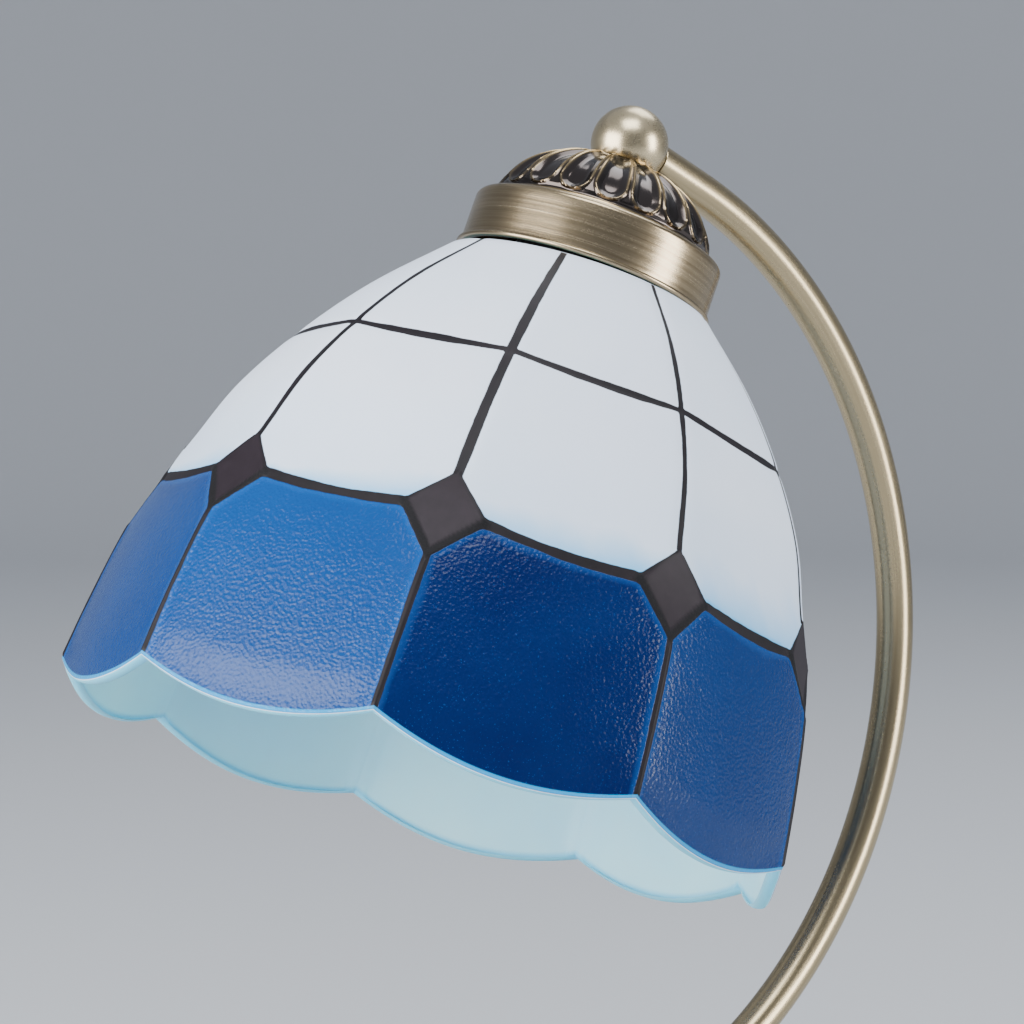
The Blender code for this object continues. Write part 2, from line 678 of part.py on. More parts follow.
def build_lead(upper_centre, lower_centre, head_down):
    """The lead that runs inside the lamp, from the base's outlet to the lampholder."""
    arm = arm_path(6 * MM, 24)
    bend = 4 * MM
    in_holder = -HOLDER_TOP + 4 * MM
    top = rounded([upper_centre + head_down * in_holder, upper_centre, arm[0]], bend)
    shelf = WEIGHT_Z + WEIGHT_T + LEAD_R + 2 * GAP
    dip = WEIGHT_Z + 4.4 * MM
    under_nut = [Vector((0, 0, dip)), Vector((10 * MM, 0, dip))]
    over_weight = [Vector((17 * MM, 0, shelf)), Vector((WEIGHT_R + 3 * MM, 0, shelf))]
    outlet = [Vector((WEIGHT_R + 8 * MM, 0, OUTLET_Z)), Vector((SHELL_R - 6.3 * MM, 0, OUTLET_Z))]
    bottom = rounded([arm[-1], lower_centre] + under_nut + over_weight + outlet, bend)
    path = top[:-1] + arm + bottom[1:]
    place("inner_lead", swept("inner_lead", path, LEAD_R, 6), "lead_sheath")


def main():
    clear_scene()
    lower_centre = Vector((0.0, 0.0, LOWER_BALL_Z))
    upper_centre = Vector((0.0, 0.0, UPPER_BALL_Z))
    head = empty("head_frame", upper_centre, (HEAD_LEAN, HEAD_TILT, 0.0))
    head_down = head.rotation_euler.to_matrix() @ Vector((0.0, 0.0, -1.0))
    glass = empty("glass_frame", upper_centre + Vector((GLASS_SHIFT, 0.0, 0.0)), (0.0, GLASS_TILT, 0.0))
    foot = empty("foot_frame", lower_centre)
    build_arm(upper_centre, lower_centre, head_down)
    build_shade(head, glass)
    build_holder(head)
    build_bulb(head)
    build_base(foot)
    build_switch()
    build_outlet()
    build_lead(upper_centre, lower_centre, head_down)


main()
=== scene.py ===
"""Looks of the table lamp: painted pressed-glass shade, antique brass, bulb, base and studio.

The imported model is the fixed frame.  Pieces that show get fine meshes here, most of them built
in a local frame: HEAD, whose Z is the cap's axis and whose origin is the upper ball's centre,
GLASS, in which the loosely hung shade stands upright, and FOOT, whose origin is the lower
ball's centre.  Everything is in metres.
"""
import json
import math

import bmesh
import bpy
import numpy as np
from mathutils import Matrix, Vector


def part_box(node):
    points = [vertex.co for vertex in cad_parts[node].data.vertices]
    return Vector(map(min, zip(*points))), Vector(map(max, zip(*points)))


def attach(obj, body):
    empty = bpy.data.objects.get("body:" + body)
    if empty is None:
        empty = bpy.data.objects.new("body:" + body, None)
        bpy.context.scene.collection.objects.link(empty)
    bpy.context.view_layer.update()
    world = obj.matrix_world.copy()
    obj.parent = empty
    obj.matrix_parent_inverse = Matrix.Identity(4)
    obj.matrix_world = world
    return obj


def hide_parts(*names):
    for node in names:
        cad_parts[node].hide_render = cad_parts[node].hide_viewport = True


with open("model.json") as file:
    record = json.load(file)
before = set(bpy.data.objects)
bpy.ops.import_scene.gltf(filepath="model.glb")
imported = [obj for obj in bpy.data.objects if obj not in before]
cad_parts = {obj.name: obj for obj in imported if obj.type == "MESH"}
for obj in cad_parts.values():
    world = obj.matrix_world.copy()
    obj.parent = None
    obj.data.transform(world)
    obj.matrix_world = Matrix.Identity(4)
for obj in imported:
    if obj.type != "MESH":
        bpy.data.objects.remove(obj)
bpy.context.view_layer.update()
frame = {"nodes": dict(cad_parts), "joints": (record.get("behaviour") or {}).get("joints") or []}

MM = 0.001
NODES = frame["nodes"]
JOINTS = {joint["name"]: joint for joint in frame["joints"]}

# ------------------------------------------------------------ places, from the frame

BALL_R = 10.0 * MM
BAND_DROP = 39.2 * MM               # from a ball's centre down to its band's lip
swivel = JOINTS["shade_swivel"]
UPPER = Vector(swivel["pos_m"])
AXIS = Vector(swivel["axis"]).normalized()
SHELL_LOW, SHELL_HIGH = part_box("base_shell")
LOWER = Vector((0.0, 0.0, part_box("base_band")[0].z + BAND_DROP))


def local_frame(origin, up):
    """A frame whose Z is up and whose Y is the world's."""
    side = Vector((0.0, 1.0, 0.0))
    across = side.cross(up).normalized()
    turn = Matrix((across, up.cross(across), up)).transposed().to_4x4()
    return Matrix.Translation(origin) @ turn


HEAD = local_frame(UPPER, AXIS)
GLASS_SPOT = UPPER - Vector((2.4 * MM, 0.0, 0.0))
GLASS = Matrix.Translation(GLASS_SPOT) @ Matrix.Rotation(math.radians(22.4), 4, "Y")
FOOT = Matrix.Translation(LOWER)
WORLD = Matrix.Identity(4)


# ------------------------------------------------------------ mesh helpers

def finish(name, bm, body, look, sharp_deg, matrix, node):
    """Make a piece from a bmesh built in a local frame, in place of one node of the frame.

    look is the name of its material, if the mesh doesn't have its own yet.
    """
    mesh = bpy.data.meshes.new(name)
    bm.to_mesh(mesh)
    bm.free()
    finish_mesh(name, mesh, body, look, sharp_deg, matrix, node)


def finish_mesh(name, mesh, body, look, sharp_deg, matrix, node):
    """The same for a piece that is already a mesh."""
    mesh.transform(matrix)
    mesh.shade_smooth()
    mesh.set_sharp_from_angle(angle=math.radians(sharp_deg))
    if look:
        mesh.materials.append(M[look])
    piece = bpy.data.objects.new(name, mesh)
    bpy.context.scene.collection.objects.link(piece)
    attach(piece, body)
    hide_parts(node)


def arc(centre, radius, start_deg, end_deg, steps):
    """Points along an arc."""
    angles = np.radians(np.linspace(start_deg, end_deg, steps + 1))
    return [(centre[0] + radius * math.cos(a), centre[1] + radius * math.sin(a)) for a in angles]


def turned(profile, segments=96, shape=None, closed=True):
    """A bmesh turned about Z from (radius, level) points.

    A profile closes wherever it meets radius 0, and its last point joins the first if closed is
    set.  shape(radius, level, angle) may move a point.  Each point's "spin" attribute holds its place
    on a cylinder unrolled along the profile, in metres, for marks that follow the turning.
    """
    bm = bmesh.new()
    spin = bm.verts.layers.float_vector.new("spin")
    angles = [2 * math.pi * i / segments for i in range(segments)]
    widest = max(radius for radius, _ in profile)
    rows = []
    along = 0.0
    before = profile[0]
    for radius, level in profile:
        along += math.dist(before, (radius, level))
        before = (radius, level)
        row = []
        for angle in angles if radius else angles[:1]:
            r, z = shape(radius, level, angle) if shape else (radius, level)
            vert = bm.verts.new((r * math.cos(angle), r * math.sin(angle), z))
            vert[spin] = (widest * math.cos(angle), widest * math.sin(angle), along)
            row.append(vert)
        rows.append(row)
    following = rows[1:] + rows[:1] if closed else rows[1:]
    for upper, lower in zip(rows, following):
        if len(upper) == len(lower) == 1:
            continue
        for i in range(segments):
            j = (i + 1) % segments
            if len(upper) == 1:
                bm.faces.new((upper[0], lower[i], lower[j]))
            elif len(lower) == 1:
                bm.faces.new((upper[i], lower[0], upper[j]))
            else:
                bm.faces.new((upper[i], lower[i], lower[j], upper[j]))
    bmesh.ops.recalc_face_normals(bm, faces=bm.faces)
    return bm


def swept(path, sections, segments):
    """A bmesh of a pipe along a path in the XZ plane, through loops of (step, radius).

    sections lists, in order round the pipe's wall, which point of the path each ring of points
    stands on, and its radius; the last joins the first.
    """
    side = Vector((0.0, 1.0, 0.0))
    bm = bmesh.new()
    spin = bm.verts.layers.float_vector.new("spin")
    pitch = (path[1] - path[0]).length
    rows = []
    for i, radius in sections:
        ahead = (path[min(i + 1, len(path) - 1)] - path[max(i - 1, 0)]).normalized()
        across = ahead.cross(side)
        row = []
        for k in range(segments):
            a = 2 * math.pi * k / segments
            vert = bm.verts.new(path[i] + radius * (math.cos(a) * across + math.sin(a) * side))
            vert[spin] = (radius * math.cos(a), radius * math.sin(a), i * pitch)
            row.append(vert)
        rows.append(row)
    for here, there in zip(rows, rows[1:] + rows[:1]):
        for k in range(segments):
            m = (k + 1) % segments
            bm.faces.new((here[k], there[k], there[m], here[m]))
    bmesh.ops.recalc_face_normals(bm, faces=bm.faces)
    return bm


def drill(bm, rods):
    """A mesh with round holes cut along (radius, start, end) rods."""
    mesh = bpy.data.meshes.new("drilled")
    bm.to_mesh(mesh)
    bm.free()
    block = bpy.data.objects.new("drilled", mesh)
    bpy.context.scene.collection.objects.link(block)
    tools = []
    for radius, start, end in rods:
        along = Vector(end) - Vector(start)
        rod = turned([(0, 0), (radius, 0), (radius, along.length), (0, along.length)], 48)
        shape = bpy.data.meshes.new("rod")
        rod.to_mesh(shape)
        rod.free()
        tool = bpy.data.objects.new("rod", shape)
        turn = along.to_track_quat("Z", "Y").to_matrix().to_4x4()
        tool.matrix_world = Matrix.Translation(start) @ turn
        bpy.context.scene.collection.objects.link(tool)
        cut = block.modifiers.new("cut", "BOOLEAN")
        cut.object = tool
        cut.solver = "EXACT"
        tools.append(tool)
    bpy.context.view_layer.update()
    seen = block.evaluated_get(bpy.context.evaluated_depsgraph_get())
    result = bpy.data.meshes.new_from_object(seen)
    for made in [block] + tools:
        bpy.data.objects.remove(made, do_unlink=True)
    result.materials.clear()
    return result


def grid_mesh(name, co, closed_rows):
    """A mesh from rows of points whose columns, and if asked rows, close on themselves."""
    count, width = co.shape[:2]
    index = np.arange(count * width).reshape(count, width)
    right = np.roll(index, -1, axis=1)
    below = np.roll(index, -1, axis=0)
    below_right = np.roll(right, -1, axis=0)
    faces = np.stack([index, below, below_right, right], -1)
    if not closed_rows:
        faces = faces[:-1]
    mesh = bpy.data.meshes.new(name)
    mesh.from_pydata(co.reshape(-1, 3).tolist(), [], faces.reshape(-1, 4).tolist())
    mesh.update()
    return mesh


# ------------------------------------------------------------ material helpers

class Graph:
    """A small writer of node materials."""

    def __init__(self, name):
        self.mat = bpy.data.materials.new(name)
        self.mat.use_nodes = True
        self.nodes = self.mat.node_tree.nodes
        self.links = self.mat.node_tree.links
        self.nodes.clear()
        self.out = self.nodes.new("ShaderNodeOutputMaterial")
        self.shader = self.nodes.new("ShaderNodeBsdfPrincipled")
        self.links.new(self.shader.outputs[0], self.out.inputs["Surface"])

    def feed(self, socket, value):
        if isinstance(value, bpy.types.NodeSocket):
            self.links.new(value, socket)
        elif isinstance(value, (tuple, list)) and len(value) == 3 and socket.type == "RGBA":
            socket.default_value = (*value, 1.0)
        else:
            socket.default_value = value

    def set(self, **inputs):
        """Set the shader's own sockets; an underscore stands for a space."""
        for key, value in inputs.items():
            self.feed(self.shader.inputs[key.replace("_", " ")], value)
        return self

    def math(self, operation, a, b, clamp=False):
        node = self.nodes.new("ShaderNodeMath")
        node.operation = operation
        node.use_clamp = clamp
        for socket, value in zip(node.inputs, (a, b)):
            self.feed(socket, value)
        return node.outputs[0]

    def mix(self, fac, a, b):
        """Colours mixed by fac."""
        node = self.nodes.new("ShaderNodeMix")
        node.data_type = "RGBA"
        self.feed(node.inputs["Factor"], fac)
        self.feed(node.inputs[6], a)
        self.feed(node.inputs[7], b)
        return node.outputs[2]

    def blend(self, fac, a, b):
        """Numbers mixed by fac."""
        node = self.nodes.new("ShaderNodeMix")
        node.data_type = "FLOAT"
        self.feed(node.inputs["Factor"], fac)
        self.feed(node.inputs[2], a)
        self.feed(node.inputs[3], b)
        return node.outputs[0]

    def noise(self, scale, detail=3.0, vector=None, rough=0.5, distortion=0.0):
        node = self.nodes.new("ShaderNodeTexNoise")
        node.inputs["Scale"].default_value = scale
        node.inputs["Detail"].default_value = detail
        node.inputs["Roughness"].default_value = rough
        node.inputs["Distortion"].default_value = distortion
        self.links.new(vector or self.place(), node.inputs["Vector"])
        return node.outputs[0]

    def soft_cells(self, scale):
        node = self.nodes.new("ShaderNodeTexVoronoi")
        node.feature = "SMOOTH_F1"
        node.inputs["Scale"].default_value = scale
        node.inputs["Smoothness"].default_value = 0.6
        self.links.new(self.place(), node.inputs["Vector"])
        return node.outputs["Distance"]

    def place(self):
        """The point on the object."""
        return self.nodes.new("ShaderNodeTexCoord").outputs["Object"]

    def spin(self):
        """The point's place along and around a turned or swept piece."""
        node = self.nodes.new("ShaderNodeAttribute")
        node.attribute_name = "spin"
        return node.outputs["Vector"]

    def stretch(self, scale, vector=None):
        node = self.nodes.new("ShaderNodeMapping")
        node.inputs["Scale"].default_value = scale
        self.links.new(vector or self.place(), node.inputs["Vector"])
        return node.outputs[0]

    def attribute(self, name):
        node = self.nodes.new("ShaderNodeAttribute")
        node.attribute_name = name
        return node.outputs["Fac"]

    def ramp(self, value, low, high, start=0.0, end=1.0):
        """Value from low..high mapped to start..end, held inside."""
        node = self.nodes.new("ShaderNodeMapRange")
        for socket, number in zip(node.inputs, (value, low, high, start, end)):
            self.feed(socket, number)
        return node.outputs[0]

    def bump(self, height, distance, strength=1.0, normal=None):
        node = self.nodes.new("ShaderNodeBump")
        node.inputs["Distance"].default_value = distance
        node.inputs["Strength"].default_value = strength
        self.links.new(height, node.inputs["Height"])
        if normal:
            self.links.new(normal, node.inputs["Normal"])
        return node.outputs[0]


# ------------------------------------------------------------ materials

def brass(name, dull, bright, rough, brushed=None, wear=None):
    """Lacquered antique brass: patina clouds, fine scratches and, where asked, brushing.

    brushed is how many brush marks there are per metre round the piece and along it, and wear
    an attribute that is 1 where rubbing has kept the metal bright.
    """
    g = Graph(name)
    cloud = g.noise(45.0, 3.0, rough=0.5)
    fine = g.noise(1400.0, 2.0)
    tone = g.ramp(cloud, 0.3, 0.7, 0.35, 0.65)
    if brushed:
        around, along = brushed
        marks = g.noise(1.0, 4.0, g.stretch((around, around, along), g.spin()), rough=0.7)
        tone = g.math("ADD", g.math("MULTIPLY", tone, 0.3), g.ramp(marks, 0.3, 0.7, 0.0, 0.7))
    color = g.mix(tone, dull, bright)
    grain = g.ramp(fine, 0.3, 0.7, -0.015, 0.02)
    shine = g.math("ADD", g.math("ADD", rough, grain), g.ramp(cloud, 0.3, 0.7, -0.02, 0.02))
    normal = g.bump(fine, 0.000004, 0.3)
    if brushed:
        normal = g.bump(marks, 0.00004, 0.6, normal)
        shine = g.math("ADD", shine, g.ramp(marks, 0.3, 0.7, -0.03, 0.04))
    if wear:
        rubbed = g.attribute(wear)
        color = g.mix(rubbed, color, (0.60, 0.44, 0.22))
        shine = g.blend(rubbed, shine, 0.26)
    g.set(Base_Color=color, Roughness=shine, Metallic=1.0, Normal=normal)
    return g.mat


def plain(name, color, rough, metallic=0.0, spread=0.12, scale=120.0, grain=0.0, fine=900.0):
    """A moulded, plated or fired surface: slight tone clouds and a fine grain."""
    g = Graph(name)
    cloud = g.noise(scale, 3.0)
    speck = g.noise(fine, 2.0)
    darker = tuple(c * (1 - spread) for c in color)
    lighter = tuple(min(1.0, c * (1 + spread)) for c in color)
    g.set(Base_Color=g.mix(g.ramp(cloud, 0.3, 0.7), darker, lighter), Metallic=metallic,
          Roughness=g.math("ADD", rough, g.ramp(speck, 0.3, 0.7, -0.05, 0.06)),
          Normal=g.bump(speck, max(grain, 0.00001), 0.5))
    return g.mat


def felt_material():
    g = Graph("felt")
    fibres = g.noise(2600.0, 4.0, rough=0.8)
    tufts = g.noise(500.0, 3.0)
    color = g.mix(fibres, (0.010, 0.012, 0.013), (0.055, 0.06, 0.062))
    g.set(Base_Color=g.mix(g.ramp(tufts, 0.4, 0.7, 0.0, 0.4), color, (0.03, 0.03, 0.035)),
          Roughness=0.95, Sheen_Weight=0.6, Sheen_Roughness=0.5,
          Normal=g.bump(fibres, 0.0004, 0.9))
    return g.mat


def frosted_bulb_material():
    """Acid-frosted opal glass."""
    g = Graph("bulb_glass")
    cloud = g.noise(60.0, 2.0)
    grain = g.noise(2500.0, 2.0)
    g.set(Base_Color=g.mix(cloud, (0.84, 0.84, 0.82), (0.91, 0.91, 0.89)), Roughness=0.32,
          Subsurface_Weight=0.5, Subsurface_Radius=(1.0, 1.0, 0.9), Subsurface_Scale=0.004,
          Normal=g.bump(grain, 0.00003, 0.4))
    return g.mat


WHITE_PAINT = (0.78, 0.855, 0.98)
WHITE_SHADE = (0.72, 0.81, 0.95)
CYAN_MIST = (0.06, 0.46, 0.84)
BLUE_DEEP = (0.000, 0.006, 0.062)
BLUE_LIGHT = (0.004, 0.070, 0.28)
# BLUE_EDGE: paler blue for the panels' edges, partly a painted edge highlight, and for the specks in
# the grain
BLUE_EDGE = (0.003, 0.11, 0.42)
LINE_BROWN = (0.012, 0.007, 0.010)
LINE_BLACK = (0.002, 0.002, 0.003)
RIM_CYAN = (0.01, 0.30, 0.64)
AQUA_GLASS = (0.40, 0.74, 0.90)


def painted_glass():
    """The shade's outside: white and cobalt enamel between dark lines, from distances in mm.

    line, blue, diamond and rim are written on the mesh: how far a point lies outside the dark
    lines, inside the blue zone, outside the diamonds and above the rim.  bevel is 1 on the foot
    of a diamond's tile, tone is how light a panel's blue is, partly from uneven enamel and, on
    the panels in view, partly painted light and shade, and spray how far the blue's overspray
    reaches into the white above it.
    """
    g = Graph("painted_glass")
    wobble = g.math("MULTIPLY", g.math("SUBTRACT", g.noise(300.0, 2.0), 0.5), 0.35)
    fray = g.math("MULTIPLY", g.math("SUBTRACT", g.noise(1700.0, 2.0), 0.5), 0.06)
    jitter = g.math("ADD", wobble, fray)
    line = g.math("ADD", g.attribute("line"), jitter)
    blue = g.attribute("blue")
    diamond = g.attribute("diamond")
    rim = g.attribute("rim")
    bevel = g.attribute("bevel")
    tone = g.attribute("tone")
    spray = g.attribute("spray")
    cloud = g.noise(26.0, 3.0, rough=0.55)
    streak = g.noise(70.0, 4.0, g.stretch((1.0, 1.0, 0.35)))

    # white enamel, with the blue's overspray creeping up from the border
    milk = g.mix(g.ramp(cloud, 0.3, 0.7), WHITE_SHADE, WHITE_PAINT)
    above = g.math("MULTIPLY", blue, -1.0)
    reach = g.math("MULTIPLY", g.ramp(streak, 0.25, 0.75, 6.0, 17.0), spray)
    mist = g.math("SUBTRACT", 1.0, g.math("DIVIDE", above, reach), clamp=True)
    mist = g.math("MULTIPLY", g.math("POWER", mist, 1.35), g.ramp(cloud, 0.35, 0.6, 0.6, 1.0))
    fringe = g.math("MULTIPLY", g.ramp(above, 4.2, 1.6, 0.0, 0.85), g.ramp(spray, 0.4, 1.0))
    mist = g.math("MAXIMUM", mist, g.math("MULTIPLY", fringe, g.ramp(streak, 0.3, 0.5)))
    wash = g.math("SUBTRACT", 1.0, g.math("DIVIDE", above, 34.0), clamp=True)
    milk = g.mix(g.math("MULTIPLY", wash, 0.16), milk, CYAN_MIST)
    white = g.mix(mist, milk, CYAN_MIST)

    # cobalt enamel, lighter where it is thinner; each panel in view also carries its own painted light
    # and shade
    blue_lightness = g.math("ADD", g.math("MULTIPLY", tone, 0.75), g.ramp(cloud, 0.3, 0.7, -0.03, 0.10))
    cobalt = g.mix(blue_lightness, BLUE_DEEP, BLUE_LIGHT)
    # lighter blue along the lines: the enamel thins there, and it is partly a painted edge highlight
    edge_width = g.ramp(streak, 0.3, 0.7, 1.0, 2.6)
    edge = g.math("SUBTRACT", 1.0, g.math("DIVIDE", line, edge_width), clamp=True)
    cobalt = g.mix(g.math("MULTIPLY", edge, 0.35), cobalt, BLUE_EDGE)
    pits = g.soft_cells(1150.0)
    leather = g.noise(1300.0, 3.0, rough=0.6, distortion=0.4)
    flecks = g.ramp(g.noise(2400.0, 1.0), 0.68, 0.74)
    cobalt = g.mix(g.math("MULTIPLY", flecks, 0.35), cobalt, BLUE_EDGE)

    zone = g.ramp(blue, -0.2, 0.2)
    enamel = g.mix(zone, white, cobalt)
    inked = g.ramp(line, 0.12, -0.10)
    tile = g.ramp(diamond, -0.3, -1.2)
    slate = g.mix(g.noise(300.0, 3.0), (0.008, 0.004, 0.007), (0.020, 0.013, 0.018))
    ink = g.mix(tile, g.mix(g.noise(200.0, 2.0), LINE_BLACK, LINE_BROWN), slate)
    ink = g.mix(g.math("MULTIPLY", bevel, 0.9), ink, LINE_BLACK)
    color = g.mix(inked, enamel, ink)
    lip = g.math("MULTIPLY", g.ramp(rim, 0.75, 0.5), zone)
    color = g.mix(lip, color, RIM_CYAN)

    # surface: leather grain in the blue, soft waves in the white, brush drag in the lines
    grain = g.math("ADD", g.math("MULTIPLY", pits, 0.7), g.math("MULTIPLY", leather, 0.6))
    in_blue = g.math("MULTIPLY", zone, g.math("SUBTRACT", 1.0, inked))
    waves = g.math("MULTIPLY", g.noise(160.0, 2.0), 0.12)
    rougher = g.math("ADD", 0.10, g.math("MULTIPLY", bevel, 0.9))
    drag = g.math("MULTIPLY", g.noise(1500.0, 3.0), rougher)
    height = g.blend(in_blue, waves, grain)
    height = g.blend(inked, height, drag)
    rough = g.blend(zone, 0.42, 0.18)
    rough = g.blend(inked, rough, g.math("ADD", 0.52, g.math("MULTIPLY", bevel, 0.2)))
    g.set(Base_Color=color, Roughness=rough, Specular_IOR_Level=0.27,
          Normal=g.bump(height, 0.00018, 0.9))
    return g.mat


def frosted_glass():
    """The shade's bare inside and rim: sandblasted pale aqua glass."""
    g = Graph("frosted_glass")
    cloud = g.noise(22.0, 3.0)
    grain = g.noise(2200.0, 2.0)
    rim = g.attribute("rim")
    pale = g.mix(g.ramp(cloud, 0.3, 0.7), AQUA_GLASS, (0.52, 0.84, 0.97))
    lip = g.ramp(rim, 1.4, 0.2, 0.0, 0.7)
    g.set(Base_Color=g.mix(lip, pale, (0.06, 0.50, 0.80)), Roughness=0.48,
          Subsurface_Weight=0.75, Subsurface_Radius=(0.7, 1.0, 1.0), Subsurface_Scale=0.006,
          Normal=g.bump(grain, 0.00004, 0.5))
    return g.mat


M = {
    "antique_brass": brass("antique_brass", (0.52, 0.425, 0.265), (0.64, 0.53, 0.345), 0.28),
    "band_brass": brass("band_brass", (0.25, 0.185, 0.105), (0.50, 0.40, 0.255), 0.23,
                        brushed=(10.0, 1500.0)),
    "tube_brass": brass("tube_brass", (0.36, 0.285, 0.165), (0.50, 0.405, 0.245), 0.25,
                        brushed=(1100.0, 10.0)),
    "base_brass": brass("base_brass", (0.28, 0.215, 0.125), (0.47, 0.375, 0.24), 0.25,
                        brushed=(12.0, 1400.0)),
    "dark_brass": brass("dark_brass", (0.055, 0.045, 0.042), (0.105, 0.088, 0.080), 0.15,
                        wear="wear"),
    "bright_brass": plain("bright_brass", (0.80, 0.62, 0.33), 0.24, 1.0, 0.08),
    "steel": plain("steel", (0.56, 0.56, 0.57), 0.32, 1.0, 0.10),
    "cast_iron": plain("cast_iron", (0.07, 0.07, 0.075), 0.72, 0.6, 0.3, 200.0, 0.0004, 700.0),
    "bakelite": plain("bakelite", (0.022, 0.021, 0.020), 0.33, 0.0, 0.2, 90.0, 0.00003),
    "porcelain": plain("porcelain", (0.80, 0.79, 0.75), 0.20, 0.0, 0.04, 60.0, 0.00002),
    "silicone": plain("silicone", (0.66, 0.66, 0.64), 0.55, 0.0, 0.05, 100.0, 0.00003),
    "felt": felt_material(),
    "bulb_glass": frosted_bulb_material(),
    "aluminium": plain("aluminium", (0.74, 0.74, 0.75), 0.28, 1.0, 0.06, 150.0, 0.00003),
    "lead_sheath": plain("lead_sheath", (0.03, 0.03, 0.03), 0.42, 0.0, 0.15, 80.0, 0.00004),
    "painted_glass": painted_glass(),
    "frosted_glass": frosted_glass(),
}


# ------------------------------------------------------------ glass shade

GORES = 9
HALF = math.pi / GORES
RIB_PHASE = math.radians(22.1)

# the glass is worked out in mm, in its own frame
GLASS_T = 3.4
GLASS_HOLE_R, GLASS_SHOULDER_R, GLASS_TOP = 22.4, 33.4, -39.7
CROSSBAR_Z, DIAMOND_TOP_Z, DIAMOND_MID_Z, DIAMOND_LOW_Z, CUSP_Z = -73.8, -108.7, -119.5, -132.0, -169.4
DIAMOND_TOP_R, DIAMOND_MID_R, DIAMOND_LOW_R = 82.0, 86.4, 89.5
RIBS = [(35.0, -40.1), (50.8, -55.5), (65.1, CROSSBAR_Z), (74.8, -90.0),
        (DIAMOND_TOP_R, DIAMOND_TOP_Z), (DIAMOND_MID_R, DIAMOND_MID_Z),
        (DIAMOND_LOW_R, DIAMOND_LOW_Z), (92.7, -151.0), (95.0, CUSP_Z)]     # radius, level
DIAMOND_HALF = math.radians(7.7)
UPPER_SLANT, LOWER_SLANT = 1.08, 1.04       # a rib's length over its height, round the diamond
TILE_SAG = 3.4                      # how hollow a tile is, so that it stays near the rib's curve
PILLOW = 2.0                        # how far a gore's middle stands out of its flat
SCALLOP = 6.5                       # how far the rim hangs down between two cusps
RIB_LINES = (1.15, 1.30, 0.95, 1.20, 1.05, 1.35, 0.85, 1.10, 1.25)     # half widths, one per rib
GORE_TONES_AND_SHADING = (0.4, 0.8, 0.2, 0.6, 0.9, 0.05, 0.4, 0.3, 0.6)            # each blue panel's lightness: uneven enamel, and on the panels in view painted light and shade
GORE_SPRAY = (0.6, 0.8, 0.5, 0.5, 0.5, 0.8, 1.2, 0.6, 0.8)             # overspray above each panel


def smooth_curve(points, x):
    """A smooth curve through (y, x) points with falling x: cubic pieces with shared slopes."""
    xs = np.array([p[1] for p in points], float)[::-1]
    ys = np.array([p[0] for p in points], float)[::-1]
    slopes = np.gradient(ys, xs)
    i = np.clip(np.searchsorted(xs, x) - 1, 0, len(xs) - 2)
    width = xs[i + 1] - xs[i]
    t = (x - xs[i]) / width
    return ((2 * t ** 3 - 3 * t ** 2 + 1) * ys[i] + (t ** 3 - 2 * t ** 2 + t) * width * slopes[i]
            + (-2 * t ** 3 + 3 * t ** 2) * ys[i + 1] + (t ** 3 - t ** 2) * width * slopes[i + 1])


def step_up(x, low, high):
    """A smooth step from 0 at low to 1 at high."""
    t = np.clip((x - low) / (high - low), 0, 1)
    return t * t * (3 - 2 * t)


def hand(seed, along, size):
    """A slow, uneven wander along a line, the same each run."""
    rng = np.random.default_rng(seed)
    total = np.zeros_like(along)
    for wave in (23.0, 11.0, 5.5):
        total += np.sin(2 * math.pi * (along / wave + rng.random())) * wave / 23.0
    return total * size


def shade_columns(per_gore):
    """Each column's share across its gore (-1 to 1), its angle and its gore."""
    even = np.linspace(-1, 1, per_gore, endpoint=False)
    share = 1.35 * even - 0.35 * even ** 3
    shares = np.tile(share, GORES)
    gore = np.repeat(np.arange(GORES), per_gore)
    angle = RIB_PHASE + HALF + 2 * HALF * gore + np.arctan(shares * math.tan(HALF))
    return shares, angle, gore


def shade_levels():
    """Levels from the neck to the cusps, closer together where there is more to show."""
    levels = [RIBS[0][1]]
    while levels[-1] > CUSP_Z:
        z = levels[-1]
        near_line = abs(z - CROSSBAR_Z) < 4 or DIAMOND_TOP_Z + 4 > z > DIAMOND_LOW_Z - 3
        gap = 0.55 if near_line else 1.35
        if z < CUSP_Z + 4:
            gap = 0.4
        levels.append(max(z - gap, CUSP_Z))
    return np.array(levels)


